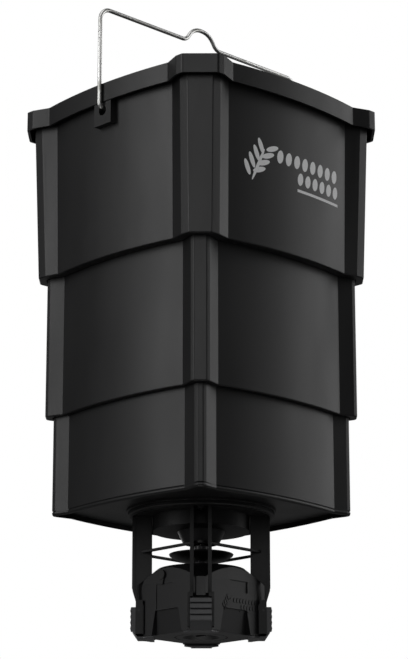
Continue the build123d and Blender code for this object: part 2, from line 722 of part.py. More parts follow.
def make_flange_screws():
    top = FLOOR + NUT_THICK + SCREW_SPARE
    screw = drum(SCREW_R, BOSS_LOW, top) + drum(SCREW_HEAD_R, BOSS_LOW - SCREW_HEAD, BOSS_LOW)
    return Compound(at_corners(Pos(SCREW_CIRCLE_R, 0, 0) * screw))


def make_flange_nuts():
    blank = Pos(0, 0, FLOOR) * extrude(RegularPolygon(NUT_R, 6), NUT_THICK)
    nut = blank - drum(SCREW_R, FLOOR - OVERCUT, FLOOR + NUT_THICK + OVERCUT)
    return Compound(at_corners(Pos(SCREW_CIRCLE_R, 0, 0) * nut))


# ---------------------------------------------------------------- control unit


def case_prism(half, reach, low, high):
    """An upright square block with its corners cut flat."""
    near = reach * ROOT2 - half
    points = []
    for turn in range(4):
        for y in (-near, near):
            points.append(Vector(half, y).rotate(Axis.Z, 90 * turn))
    return Pos(0, 0, low) * extrude(make_face(Polyline(*points, close=True)), high - low)


def roof_cone(grow):
    """Everything below the roof's outer surface, grown evenly."""
    fall = math.tan(math.radians(ROOF_SLOPE))
    lift = grow / math.cos(math.radians(ROOF_SLOPE))
    far = CASE_REACH + grow + 10.0
    edge_r = CASE_REACH - (ROOF_EDGE - CASE_JOIN) / fall
    low = CASE_LOW - 10.0
    return turned([
        (0, low),
        (far, low),
        (far, CASE_JOIN - (far - CASE_REACH) * fall + lift),
        (edge_r, ROOF_EDGE + lift),
        (ROOF_PEAK_R, ROOF_PEAK + lift),
        (0, ROOF_PEAK + lift),
    ])


def case_block(grow):
    """The whole control unit as a solid block, grown evenly."""
    block = case_prism(CASE_HALF + grow, CASE_REACH + grow, CASE_LOW - grow, ROOF_PEAK + 5.0)
    block = block & roof_cone(grow)
    return block - pockets(grow)


def pockets(grow):
    """Corner pockets that the latches swing in."""
    pocket = box_between(
        (POCKET_REACH + grow, -POCKET_HALF, CASE_LOW - OVERCUT - grow),
        (CASE_REACH + 10.0, POCKET_HALF, POCKET_TOP - grow),
    )
    return at_corners(pocket)


def side_wedge(points, low_x, high_x):
    """A cut in the -Y side from (depth, level) points, between two x values."""
    line = [(-CASE_HALF + depth, z) for depth, z in points]
    face = make_face(Plane.YZ * Polyline(*line, close=True))
    return Pos(low_x, 0, 0) * extrude(face, high_x - low_x, dir=(1, 0, 0))


def grip_cut(grow):
    """The sloping finger recess in the -Y side, grown into the case by its wall."""
    front = [
        (-GRIP_HALF_TOP - grow, GRIP_TOP + grow),
        (GRIP_HALF_TOP + grow, GRIP_TOP + grow),
        (GRIP_HALF_LOW + grow, CASE_LOW - OVERCUT),
        (-GRIP_HALF_LOW - grow, CASE_LOW - OVERCUT),
    ]
    deep_top = GRIP_DEEP_TOP + grow
    deep_low = GRIP_DEEP_LOW + grow
    outer = plate_between(front, -CASE_HALF - OVERCUT, -CASE_HALF + deep_low)
    slope = side_wedge([
        (-OVERCUT, GRIP_TOP + grow + OVERCUT),
        (deep_top, GRIP_TOP + grow + OVERCUT),
        (deep_top, GRIP_TOP),
        (deep_low, CASE_LOW),
        (deep_low, CASE_LOW - OVERCUT),
        (-OVERCUT, CASE_LOW - OVERCUT),
    ], -CASE_HALF, CASE_HALF)
    return outer & slope


def step_cut():
    """The shallow step down beside each side's upright edge line."""
    points = [(-OVERCUT, STEP_LOW), (0, STEP_LOW), (STEP_DEEP, ROOF_EDGE + 5.0), (-OVERCUT, ROOF_EDGE + 5.0)]
    return side_wedge(points, -CASE_HALF, STEP_AT)


def panel_cut(left, right, low, high, deep):
    """A shallow flat recess in the -Y side."""
    return side_wedge([(-OVERCUT, low), (deep, low), (deep, high), (-OVERCUT, high)], left, right)


def mirrored_side(shape):
    """Moves a cut from the -Y side to the +X side, as its mirror image."""
    return Rot(0, 0, 90) * mirror(shape, Plane.YZ)


def side_cuts():
    """Steps, channels and windows in all four sides."""
    step = step_cut()
    left = [step, panel_cut(*CHANNEL)]
    right = [mirrored_side(step), mirrored_side(panel_cut(-WINDOW[1], -WINDOW[0], *WINDOW[2:]))]
    return [Rot(0, 0, 180 * turn) * cut for turn in range(2) for cut in left + right]


def make_unit_roof():
    body = case_block(0) & drum(2 * CASE_REACH, CASE_JOIN, 0)
    inside = case_prism(CASE_IN, CORE_REACH, CASE_JOIN - OVERCUT, 0) & roof_cone(-CASE_WALL)
    body = body - inside
    boss_high = ROOF_PEAK - CASE_WALL / 2
    body = body + drum(MOTOR_BOSS_R, MOTOR_TOP, boss_high)
    body = body - drum(MOTOR_NOSE_R + MOTOR_FIT, MOTOR_TOP - OVERCUT, ROOF_PEAK + OVERCUT)
    screw_hole = drum(MOTOR_SCREW_R, MOTOR_TOP - OVERCUT, ROOF_PEAK + OVERCUT)
    for side in (-1, 1):
        body = body - Pos(side * MOTOR_SCREW_AT, 0, 0) * screw_hole
    jack_hole = Pos(JACK_X, -CASE_HALF, JACK_Z) * Rot(90, 0, 0) * Cylinder(JACK_R, 4 * CASE_WALL)
    return body - side_cuts() - jack_hole


def make_unit_case():
    body = case_block(0) & drum(2 * CASE_REACH, CASE_LOW - OVERCUT, CASE_JOIN)
    inside = case_prism(CASE_IN, CORE_REACH, CASE_LOW - OVERCUT, CASE_JOIN + OVERCUT)
    grips = [Rot(0, 0, 90 * turn) * grip_cut(0) for turn in range(4)]
    backs = [Rot(0, 0, 90 * turn) * grip_cut(CASE_WALL) for turn in range(4)]
    body = body - (inside - backs)
    shelf_low = CASE_LOW + COVER_THICK
    shelf = case_prism(CASE_IN, CORE_REACH, shelf_low, shelf_low + SHELF_THICK)
    opening = case_prism(CASE_IN - SHELF_WIDE, CORE_REACH - SHELF_WIDE, CASE_LOW, CASE_JOIN)
    body = body + (shelf - opening)
    return body - grips - side_cuts()


def make_motor():
    can = drum(MOTOR_R, MOTOR_LOW, MOTOR_TOP)
    can = fillet(can.edges(), MOTOR_EDGE)
    nose = drum(MOTOR_NOSE_R, MOTOR_TOP - OVERCUT, MOTOR_TOP + MOTOR_NOSE)
    body = can + nose
    body = body - drum(SHAFT_R + SHAFT_GAP, MOTOR_TOP - SHAFT_DEEP, MOTOR_TOP + MOTOR_NOSE + OVERCUT)
    for side in (-1, 1):
        deep = MOTOR_TOP - MOTOR_SCREW_DEEP
        body = body - Pos(side * MOTOR_SCREW_AT, 0, 0) * drum(MOTOR_SCREW_R, deep, MOTOR_TOP + OVERCUT)
    return body


def make_motor_screws():
    top = ROOF_PEAK + MOTOR_SCREW_HEAD
    screw = drum(MOTOR_SCREW_R, MOTOR_TOP - MOTOR_SCREW_DEEP, ROOF_PEAK)
    screw = screw + drum(MOTOR_SCREW_HEAD_R, ROOF_PEAK, top)
    return Compound([Pos(side * MOTOR_SCREW_AT, 0, 0) * screw for side in (-1, 1)])


def make_shaft_seal():
    low = MOTOR_TOP + MOTOR_NOSE
    ring = drum(MOTOR_NOSE_R, low, low + SEAL_RING_TALL)
    return ring - drum(SHAFT_R + SHAFT_GAP, low - OVERCUT, low + SEAL_RING_TALL + OVERCUT)


def make_motor_shaft():
    return drum(SHAFT_R, MOTOR_TOP - SHAFT_DEEP + OVERCUT, SHAFT_TOP)


def make_spinner_hub():
    hub = turned([
        (0, HUB_LOW),
        (HUB_FOOT_R, HUB_LOW),
        (HUB_FOOT_R, DISH_LOW),
        (HUB_R, DISH_LOW),
        (HUB_R, HUB_TOP - HUB_EDGE),
        (HUB_R - HUB_EDGE, HUB_TOP),
        (0, HUB_TOP),
    ])
    bore = drum(SHAFT_R, HUB_LOW - OVERCUT, HUB_TOP + OVERCUT)
    return hub - bore - set_screw_rod(0, HUB_R + OVERCUT)


def set_screw_rod(start, end):
    """The set screw's rod, turned between two vanes."""
    rod = Pos((start + end) / 2, 0, SET_SCREW_Z) * Rot(0, 90, 0) * Cylinder(SET_SCREW_R, end - start)
    return Rot(0, 0, 180 / VANES) * rod


def make_set_screw():
    return set_screw_rod(SHAFT_R, SET_SCREW_OUT) - drum(SHAFT_R, HUB_LOW, HUB_TOP)


def make_spinner_plate():
    skin = DISH_SKIN
    dish = turned([
        (HUB_R, DISH_LOW),
        (DISH_FLAT_R, DISH_LOW),
        (DISH_TURN_R, DISH_TURN),
        (DISH_R - skin / 2, DISH_RIM - skin),
        (DISH_R, DISH_RIM),
        (DISH_R - skin, DISH_RIM),
        (DISH_R - 3 * skin / 2, DISH_RIM - skin / 2),
        (DISH_TURN_R - skin / 2, DISH_TURN + skin),
        (DISH_FLAT_R, DISH_LOW + skin),
        (HUB_R, DISH_LOW + skin),
    ])
    vane_line = [
        (HUB_R, DISH_LOW + skin / 2),
        (DISH_FLAT_R, DISH_LOW + skin / 2),
        (DISH_TURN_R - skin / 2, DISH_TURN + skin / 2),
        (VANE_END, DISH_RIM - skin),
        (VANE_END, DISH_RIM),
        (DISH_FLAT_R, VANE_TOP - HUB_EDGE),
        (HUB_R, VANE_TOP),
    ]
    vane = plate_between(vane_line, -VANE_THICK / 2, VANE_THICK / 2)
    return dish + [Rot(0, 0, 360 / VANES * i) * vane for i in range(VANES)]


def cover_plate(low, high):
    """The cover's outline as a plate."""
    return case_prism(CASE_IN - COVER_GAP, CORE_REACH - COVER_GAP, low, high)


def make_bottom_cover():
    top = CASE_LOW + COVER_THICK
    dish_top = COVER_DISH_TOP
    grips = [Rot(0, 0, 90 * turn) * grip_cut(CASE_WALL + COVER_GAP) for turn in range(4)]
    plate = cover_plate(CASE_LOW, top) - grips
    bulge = turned([
        (0, CASE_LOW),
        (COVER_DISH_R + COVER_THICK, CASE_LOW),
        (COVER_DISH_R + COVER_THICK, top),
        (COVER_DISH_TOP_R + COVER_THICK, dish_top + COVER_THICK),
        (0, dish_top + COVER_THICK),
    ])
    dish = turned([
        (0, CASE_LOW - OVERCUT),
        (COVER_DISH_R, CASE_LOW - OVERCUT),
        (COVER_DISH_R, CASE_LOW),
        (COVER_DISH_TOP_R, dish_top),
        (0, dish_top),
    ])
    groove = drum(COVER_RING_R, CASE_LOW - OVERCUT, CASE_LOW + COVER_RING_DEEP)
    groove = groove - drum(COVER_RING_R - COVER_RING_WIDE, CASE_LOW - 2 * OVERCUT, CASE_LOW + OVERCUT)
    stem_hole = drum(STEM_R + STEM_GAP, CASE_LOW, dish_top + COVER_THICK + OVERCUT)
    return plate + bulge - dish - groove - stem_hole


def make_cover_knob():
    low = COVER_DISH_TOP - STEM_GAP
    tongue_low = TRAY_TOP + STEM_GAP
    long, wide, tall = TONGUE
    knob = drum(KNOB_R, low - KNOB_THICK, low)
    knob = chamfer(knob.edges().group_by(Axis.Z)[0], KNOB_THICK / 4)
    bar = Pos(0, 0, low - KNOB_THICK - KNOB_BAR[2] / 2) * Box(*KNOB_BAR)
    stem = drum(STEM_R, low - OVERCUT, tongue_low + tall)
    tongue = Pos(0, 0, tongue_low + tall / 2) * Box(wide, long, tall)
    return knob + bar + stem + tongue


def make_battery_tray():
    half = CASE_IN - TRAY_GAP
    near = BATTERY_NEAR - TRAY_NEAR
    far = CASE_IN - TRAY_FAR_GAP
    tray = box_between((-half, near, TRAY_LOW), (half, far, TRAY_TOP))
    tray = tray & case_prism(half, CORE_REACH - TRAY_GAP, TRAY_LOW, TRAY_TOP)
    for turn in range(4):
        tray = tray - Rot(0, 0, 90 * turn) * grip_cut(CASE_WALL + TRAY_GAP)
    slot = Pos(0, 0, TRAY_LOW) * Box(TONGUE[0] + 2 * SLOT_GAP, TONGUE[1] + 2 * SLOT_GAP, 4 * TRAY_THICK)
    return tray - slot


def make_battery_pad():
    long, wide, _ = BATTERY
    pad = Pos(0, BATTERY_Y, TRAY_TOP + PAD_THICK / 2) * Box(long, wide, PAD_THICK)
    return pad - drum(PAD_HOLE_R, TRAY_LOW, BATTERY_LOW + OVERCUT)


def make_battery():
    long, wide, tall = BATTERY
    body = Pos(0, BATTERY_Y, BATTERY_LOW + tall / 2) * Box(long, wide, tall)
    return fillet(body.edges().filter_by(Axis.Z), BATTERY_ROUND)


def make_battery_terminals():
    long, wide, thick = TERMINAL
    y = BATTERY_Y - BATTERY[1] / 2 - thick / 2
    z = BATTERY_LOW + BATTERY[2] - wide
    return Compound([Pos(x, y, z) * Box(long, thick, wide) for x in TERMINAL_X])


def make_timer_board():
    return Pos(0, BOARD_Y, BOARD_LOW + BOARD_THICK / 2) * Box(2 * BOARD_HALF, BOARD_WIDE, BOARD_THICK)


def make_timer_display():
    place = Pos(DISPLAY_X, BOARD_Y, BOARD_LOW - DISPLAY_THICK / 2)
    return place * Box(DISPLAY_LONG, DISPLAY_WIDE, DISPLAY_THICK)


def make_timer_fascia():
    long = 2 * (BOARD_HALF + FASCIA_MARGIN)
    plate = Pos(0, BOARD_Y, FASCIA_LOW + FASCIA_THICK / 2) * Box(long, FASCIA_WIDE, FASCIA_THICK)
    plate = plate & cover_plate(FASCIA_LOW, FASCIA_TOP)
    plate = plate - grip_cut(CASE_WALL + COVER_GAP)
    view = Box(DISPLAY_LONG - WINDOW_EDGE, DISPLAY_WIDE - WINDOW_EDGE, 4 * FASCIA_THICK)
    plate = plate - Pos(DISPLAY_X, BOARD_Y, FASCIA_LOW) * view
    for x in BUTTONS.values():
        hole = drum(BUTTON_R + BUTTON_FIT, FASCIA_LOW - OVERCUT, FASCIA_TOP + OVERCUT)
        plate = plate - Pos(x, BOARD_Y, 0) * hole
    for side in (-1, 1):
        post = drum(FASCIA_POST_R, FASCIA_LOW, BOARD_LOW)
        plate = plate + Pos(side * FASCIA_POST_X, BOARD_Y, 0) * post
    return plate


def make_button(x):
    stem = drum(BUTTON_R, FASCIA_LOW - BUTTON_PROUD, FASCIA_TOP + BUTTON_TALL)
    stem = fillet(stem.edges().group_by(Axis.Z)[0], BUTTON_R / 4)
    flange = drum(BUTTON_FLANGE_R, FASCIA_TOP, FASCIA_TOP + BUTTON_FLANGE)
    return Pos(x, BOARD_Y, 0) * (stem + flange)


def lead(points, radii):
    """An insulated lead along straight runs joined by arcs."""
    path = FilletPolyline(*points, radius=radii)
    first = Vector(*points[1]) - Vector(*points[0])
    return sweep(Plane(origin=points[0], z_dir=first) * Circle(LEAD_R), path=path)


def make_motor_leads():
    start = -MOTOR_R - LEAD_GAP
    over = start - LEAD_OUT
    down = BOARD_Y + LEAD_ON_BOARD
    high = MOTOR_LOW + LEAD_RISE
    pair = []
    for side in (-1, 1):
        x = side * LEAD_APART
        points = [(x, start, high), (x, over, high), (x, down, high - LEAD_OUT)]
        points.append((x, down, BOARD_TOP + LEAD_GAP))
        pair.append(lead(points, [6.0, 8.0]))
    return Compound(pair)


def make_battery_leads():
    start = BATTERY_NEAR - TERMINAL[2] - LEAD_GAP
    down = start - LEAD_REACH
    high = BATTERY_TOP - TERMINAL[1]
    leads = []
    for x in TERMINAL_X:
        points = [(x, start, high), (x, down, high), (x, down, BOARD_TOP + LEAD_GAP)]
        leads.append(lead(points, [4.0]))
    return Compound(leads)


def make_jack_socket():
    face = -CASE_IN
    body = Pos(JACK_X, face + JACK_LONG / 2, JACK_Z) * Rot(90, 0, 0) * Cylinder(JACK_BODY_R, JACK_LONG)
    hole = Pos(JACK_X, face, JACK_Z) * Rot(90, 0, 0) * Cylinder(JACK_R, 2 * (JACK_LONG - CASE_WALL))
    return body - hole


def make_jack_cap():
    face = -CASE_HALF - CAP_GAP
    outer = face - CAP_THICK
    disc = Pos(JACK_X, (face + outer) / 2, JACK_Z) * Rot(90, 0, 0) * Cylinder(CAP_R, CAP_THICK)
    plug = Rot(90, 0, 0) * Cylinder(JACK_R - CAP_STEM_GAP, CAP_STEM)
    stem = Pos(JACK_X, face + CAP_STEM / 2, JACK_Z) * plug
    tail_line = [
        (JACK_X - CAP_TAIL_WIDE / 2, JACK_Z - CAP_TAIL_DROP),
        (JACK_X + CAP_TAIL_WIDE / 2, JACK_Z - CAP_TAIL_DROP),
        (JACK_X + CAP_R * CAP_NECK[0], JACK_Z - CAP_R * CAP_NECK[1]),
        (JACK_X - CAP_R * CAP_NECK[0], JACK_Z - CAP_R * CAP_NECK[1]),
    ]
    tail = plate_between(tail_line, face - CAP_TAIL_THICK, face)
    return disc + stem + tail


# ---------------------------------------------------------------- latches


def make_latch():
    """One latch along +X: a ribbed plate with a hook under the case and a pivot lug."""
    tooth = (LATCH_TOP - LATCH_LOW) / TEETH
    line = [(LATCH_BACK, LATCH_TOP)]
    for i in range(TEETH):
        top = LATCH_TOP - i * tooth
        line.append((LATCH_TIP - TOOTH_GROOVE, top))
        line.append((LATCH_TIP, top - TOOTH_EDGE * tooth))
        line.append((LATCH_FACE, top - TOOTH_FOOT * tooth))
        line.append((LATCH_FACE, top - tooth))
    line += [
        (LATCH_FOOT_X + PAD_DEEP, LATCH_BASE),
        (LATCH_FOOT_X - 2 * PAD_DEEP, LATCH_BASE),
        (LATCH_FOOT_X - 2 * PAD_DEEP, LATCH_BASE + PAD_DEEP),
        (LATCH_BACK - PAD_DEEP, LATCH_BASE + PAD_DEEP),
        (LATCH_BACK, LATCH_BASE + 2 * PAD_DEEP),
    ]
    plate = plate_between(line, -LATCH_HALF, LATCH_HALF)
    half_line = [
        (PAD_REACHES[0], PAD_HALF_WIDE),
        (PAD_REACHES[1], PAD_HALF_WIDE),
        (PAD_REACHES[2], LATCH_HALF + PAD_STEP),
        (LATCH_FOOT_X, PAD_HALF),
    ]
    pad_line = half_line + [(x, -y) for x, y in reversed(half_line)]
    pad = Pos(0, 0, LATCH_BASE) * extrude(make_face(Polyline(*pad_line, close=True)), PAD_DEEP, dir=(0, 0, 1))
    across = Rot(90, 0, 0) * Cylinder(LUG_R, 2 * LATCH_HALF)
    lug = Pos(PIN_X, 0, PIN_Z) * across
    lug_high = (LATCH_BACK + OVERCUT, LATCH_HALF, PIN_Z + LUG_R)
    lug = lug + box_between((PIN_X, -LATCH_HALF, PIN_Z - LUG_R), lug_high)
    bore = Pos(PIN_X, 0, PIN_Z) * Rot(90, 0, 0) * Cylinder(PIN_R + PIN_FIT, 4 * LATCH_HALF)
    return plate + pad + lug - bore


def make_latch_pins():
    return Compound(at_corners(Pos(PIN_X, 0, PIN_Z) * Rot(90, 0, 0) * Cylinder(PIN_R, 2 * RAIL_FAR)))


# ---------------------------------------------------------------- the whole feeder


def main():
    os.makedirs("parts", exist_ok=True)
    save("bail", make_bail())
    save("bail_retainers", make_bail_retainers())
    save("top_section", make_top_section())
    save("lid", make_lid())
    save("lid_seal", make_lid_seal())
    save("middle_section", make_middle_section())
    save("bottom_section", make_bottom_section())
    save("feed_funnel", make_feed_funnel())
    save("leg_frame", make_leg_frame())
    save("guard_ring", guard_band(0))
    save("flange_screws", make_flange_screws())
    save("flange_nuts", make_flange_nuts())
    save("unit_roof", make_unit_roof())
    save("unit_case", make_unit_case())
    save("bottom_cover", make_bottom_cover())
    save("cover_knob", make_cover_knob())
    save("motor", make_motor())
    save("motor_screws", make_motor_screws())
    save("shaft_seal", make_shaft_seal())
    save("motor_shaft", make_motor_shaft())
    save("spinner_hub", make_spinner_hub())
    save("spinner_plate", make_spinner_plate())
    save("set_screw", make_set_screw())
    save("battery_tray", make_battery_tray())
    save("battery_pad", make_battery_pad())
    save("battery", make_battery())
    save("battery_terminals", make_battery_terminals())
    save("timer_board", make_timer_board())
    save("timer_display", make_timer_display())
    save("timer_fascia", make_timer_fascia())
    for name, x in BUTTONS.items():
        save(name, make_button(x))
    save("motor_leads", make_motor_leads())
    save("battery_leads", make_battery_leads())
    save("jack_socket", make_jack_socket())
    save("jack_cap", make_jack_cap())
    latch = make_latch()
    for index, name in enumerate(LATCH_NAMES):
        save(name, at_corner(index, latch))
    save("latch_pins", make_latch_pins())


main()
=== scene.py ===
import json
import math

import bmesh
import bpy
from bpy.props import FloatProperty, IntProperty, PointerProperty, StringProperty
from mathutils import Matrix, Vector

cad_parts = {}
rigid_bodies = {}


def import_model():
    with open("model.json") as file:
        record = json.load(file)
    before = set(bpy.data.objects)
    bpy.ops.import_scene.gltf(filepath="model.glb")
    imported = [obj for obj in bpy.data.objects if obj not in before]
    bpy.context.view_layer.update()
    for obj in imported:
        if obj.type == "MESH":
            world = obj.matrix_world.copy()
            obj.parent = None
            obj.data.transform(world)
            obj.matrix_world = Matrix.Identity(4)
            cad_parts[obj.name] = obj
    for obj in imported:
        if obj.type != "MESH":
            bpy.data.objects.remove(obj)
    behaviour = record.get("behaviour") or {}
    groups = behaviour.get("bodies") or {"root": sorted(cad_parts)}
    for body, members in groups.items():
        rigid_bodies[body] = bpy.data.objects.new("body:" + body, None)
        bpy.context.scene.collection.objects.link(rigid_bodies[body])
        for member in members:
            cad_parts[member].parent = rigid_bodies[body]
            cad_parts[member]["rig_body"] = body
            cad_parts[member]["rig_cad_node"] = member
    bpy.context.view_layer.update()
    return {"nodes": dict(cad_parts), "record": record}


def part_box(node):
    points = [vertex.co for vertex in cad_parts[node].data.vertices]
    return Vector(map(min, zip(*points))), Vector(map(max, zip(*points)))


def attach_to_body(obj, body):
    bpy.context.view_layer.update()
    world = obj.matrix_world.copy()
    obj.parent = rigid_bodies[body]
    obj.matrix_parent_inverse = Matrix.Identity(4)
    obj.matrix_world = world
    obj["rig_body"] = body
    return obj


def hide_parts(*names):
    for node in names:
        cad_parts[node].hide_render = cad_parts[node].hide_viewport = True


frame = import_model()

# Hanging spinner game feeder: three nested black polypropylene sections on a wire bail, with a funnel,
# a spinner plate and a latched timer unit below.  The frame's origin is where a hook bears on the bail.

bl_info = {
    "name": "Hanging Spinner Feeder",
    "version": (1, 0, 0),
    "blender": (4, 5, 0),
    "location": "View3D > Sidebar > Feeder",
    "description": "Finishes a hanging game feeder: moulded skins, fittings, materials and a studio",
    "category": "Object",
}

MM = 0.001
MERGE_GAP = 0.002 * MM                 # corners closer than this are one corner
FLAT_FOLD = math.radians(0.4)          # faces that fold less than this are one face
LEVEL_SLACK = 0.01 * MM                # how near a cut a corner counts as on it

# ---------------------------------------------------------------- what the frame says

NODES = frame["nodes"]
RECORD = frame["record"]
BODY_OF = {node: body for body, members in RECORD["behaviour"]["bodies"].items() for node in members}
SLOT_OF = {part["node"]: part["material_slot"] for part in RECORD["subparts"]}
LATCHES = ("back_right_latch", "back_left_latch", "front_left_latch", "front_right_latch")
HOPPER_PIECES = ("top_section", "middle_section", "bottom_section", "lid")
UNIT_PIECES = ("bail", "jack_cap", "feed_funnel", "leg_frame", "guard_ring", "unit_roof", "unit_case",
               "bottom_cover", "cover_knob", "spinner_plate", "spinner_hub", "battery_tray", "timer_fascia",
               *LATCHES)


def low(node):
    """Lowest corner of a node's box."""
    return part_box(node)[0]


# ---------------------------------------------------------------- settings


class FeederShape(bpy.types.PropertyGroup):
    """Sizes of the details that are added to the frame's pieces."""

    hopper_edge: FloatProperty(
        name="Hopper edge", description="Rounding of the hopper's moulded edges",
        default=0.9 * MM, min=0.0, unit="LENGTH")
    unit_edge: FloatProperty(
        name="Unit edge", description="Rounding of the timer unit's moulded edges",
        default=0.35 * MM, min=0.0, unit="LENGTH")
    edge_steps: IntProperty(
        name="Edge steps", description="Faces across each rounded edge", default=2, min=1, max=4)
    sharp_angle: FloatProperty(
        name="Sharp angle", description="Folds steeper than this are shown as an edge",
        default=math.radians(22.0), subtype="ANGLE")
    emblem_wide: FloatProperty(
        name="Emblem width", description="Width of the printed emblem on the hopper",
        default=154.0 * MM, unit="LENGTH")
    ink_thick: FloatProperty(
        name="Ink thickness", description="Thickness of the printed emblem",
        default=0.12 * MM, unit="LENGTH")
    emblem_across: FloatProperty(
        name="Emblem across", description="Middle of the printed emblem, from the panel's middle",
        default=3.5 * MM, unit="LENGTH")
    emblem_level: FloatProperty(
        name="Emblem level", description="Level of the printed emblem's middle", default=-213.0 * MM,
        unit="LENGTH")
    relief_across: FloatProperty(
        name="Relief across", description="Middle of the moulded emblem, from the unit's middle",
        default=7.5 * MM, unit="LENGTH")
    relief_level: FloatProperty(
        name="Relief level", description="Level of the moulded emblem's middle",
        default=-693.5 * MM, unit="LENGTH")
    relief_wide: FloatProperty(
        name="Relief width", description="Width of the moulded emblem on the timer unit",
        default=54.0 * MM, unit="LENGTH")
    relief_thick: FloatProperty(
        name="Relief thickness", description="How far the moulded emblem stands out",
        default=0.5 * MM, unit="LENGTH")
    studs: IntProperty(
        name="Studs", description="Small studs in the ring under the bottom cover", default=28, min=3)
    groove_rise: FloatProperty(
        name="Groove rise", description="Height of the groove above the hopper's lowest edge",
        default=4.8 * MM, unit="LENGTH")
    groove_half: FloatProperty(
        name="Groove half height", description="Half the height of the groove", default=1.1 * MM,
        unit="LENGTH")
    groove_deep: FloatProperty(
        name="Groove depth", description="Depth of the groove", default=1.2 * MM, unit="LENGTH")
    skirt_reach: FloatProperty(
        name="Skirt reach",
        description="The hopper's outer skirt lies beyond this distance from its middle planes",
        default=100.0 * MM, unit="LENGTH")
    stud_size: FloatProperty(
        name="Stud size", description="Width of each small stud", default=2.0 * MM, unit="LENGTH")
    stud_ring: FloatProperty(
        name="Stud ring", description="Radius of the ring of studs", default=29.5 * MM, unit="LENGTH")
    stud_sunk: FloatProperty(
        name="Stud depth", description="Depth of each stud's middle inside the cover",
        default=0.55 * MM, unit="LENGTH")
    web_top: FloatProperty(
        name="Web top", description="Level of the rail webs' upper ends", default=-690.0 * MM, unit="LENGTH")
    web_rise: FloatProperty(
        name="Web rise", description="Height of the webs' lower ends above the unit's foot",
        default=2.0 * MM, unit="LENGTH")
    web_reach: FloatProperty(
        name="Web reach", description="Distance of each web from the unit's axis, towards its corner",
        default=64.85 * MM, unit="LENGTH")
    web_aside: FloatProperty(
        name="Web aside", description="Distance of each web from its corner's middle", default=13.2 * MM,
        unit="LENGTH")
    web_deep: FloatProperty(
        name="Web depth", description="Size of each web towards its corner", default=1.7 * MM, unit="LENGTH")
    web_wide: FloatProperty(
        name="Web width", description="Size of each web along its corner's face", default=2.2 * MM,
        unit="LENGTH")
    web_edge: FloatProperty(
        name="Web edge", description="Rounding of the webs' edges", default=0.2 * MM, unit="LENGTH")


class FeederColours(bpy.types.PropertyGroup):
    """Colours, as sRGB hex values."""

    polymer: StringProperty(name="Polymer", description="Black of the hopper's sections", default="#0d0d0e")
    polymer_scuffed: StringProperty(
        name="Scuffed polymer", description="Paler grey where edges have rubbed", default="#2a2a2b")
    unit: StringProperty(name="Unit polymer", description="Black of the timer unit", default="#111112")
    ink: StringProperty(name="Ink", description="Printed emblem", default="#f2f2f3")
    wire: StringProperty(name="Wire", description="Bright plated wire", default="#f0f0ee")


class FeederStudio(bpy.types.PropertyGroup):
    """Camera, floor and lights."""

    turn: FloatProperty(
        name="Camera turn", description="Camera's direction from the front, towards the right",
        default=math.radians(45.3), subtype="ANGLE")
    distance: FloatProperty(
        name="Camera distance", description="Level distance from the feeder's axis", default=2.6412,
        unit="LENGTH")
    drop: FloatProperty(
        name="Camera drop", description="Camera's depth below the hanging point", default=1.0982,
        unit="LENGTH")
    pitch: FloatProperty(
        name="Camera pitch", description="How far the camera looks up", default=math.radians(15.45),
        subtype="ANGLE")
    lens: FloatProperty(name="Lens", description="Focal length on a 36 mm frame, in millimetres",
                        default=129.43)
    shift: FloatProperty(name="Shift", description="Sideways shift of the frame", default=0.00425)
    floor_drop: FloatProperty(
        name="Floor drop", description="Floor's depth below the hanging point", default=2.6, unit="LENGTH")
    floor_reach: FloatProperty(name="Floor reach", description="Floor's radius", default=1.1, unit="LENGTH")
    floor_light: FloatProperty(
        name="Floor light", description="Power of the light that shines down on the floor, in watts",
        default=12.0)
    floor_light_rise: FloatProperty(
        name="Floor light rise", description="Height of that light above the floor", default=1.3,
        unit="LENGTH")
    floor_light_wide: FloatProperty(
        name="Floor light width", description="Width of that light", default=1.2, unit="LENGTH")
    aim: FloatProperty(
        name="Aim", description="Level that the other lights shine at", default=-0.4, unit="LENGTH")
    light_distance: FloatProperty(
        name="Light distance", description="Distance of those lights from there", default=2.6, unit="LENGTH")
    backdrop: FloatProperty(name="Backdrop", description="Brightness of the plain white backdrop",
                            default=1.0)
    fill: FloatProperty(name="Fill", description="Brightness of the light from all round", default=0.09)


# ---------------------------------------------------------------- modelling helpers


def linear(code):
    """An sRGB hex colour as linear RGBA."""
    channels = [int(code[i:i + 2], 16) / 255 for i in (1, 3, 5)]
    return [c / 12.92 if c <= 0.04045 else ((c + 0.055) / 1.055) ** 2.4 for c in channels] + [1.0]


def deselect():
    """Leaves edit mode and selects nothing."""
    if bpy.context.object and bpy.context.object.mode != "OBJECT":
        bpy.ops.object.mode_set(mode="OBJECT")
    bpy.ops.object.select_all(action="DESELECT")


def focus(piece):
    """Makes one piece the only selected and the active one."""
    deselect()
    piece.select_set(True)
    bpy.context.view_layer.objects.active = piece


def settle(piece, name):
    """Names a piece and moves its place into its mesh."""
    focus(piece)
    bpy.ops.object.transform_apply(location=True, rotation=True, scale=True)
    piece.name = name
    piece.data.name = name
    return piece


def soften(piece, width, steps, angle):
    """Rounds a piece's edges with a bevel and shades it smooth between them."""
    focus(piece)
    rounding = piece.modifiers.new("edge", "BEVEL")
    rounding.width = width
    rounding.segments = steps
    rounding.limit_method = "ANGLE"
    rounding.angle_limit = angle
    rounding.use_clamp_overlap = True
    rounding.miter_outer = "MITER_ARC"
    bpy.ops.object.modifier_apply(modifier=rounding.name)
    shade_again(piece, angle)


def shade_again(piece, angle):
    """Shades a cut piece smooth between its folds and flat across its faces."""
    focus(piece)
    bpy.ops.object.shade_smooth_by_angle(angle=angle)
    flats = piece.modifiers.new("flats", "WEIGHTED_NORMAL")
    flats.keep_sharp = True
    bpy.ops.object.modifier_apply(modifier=flats.name)


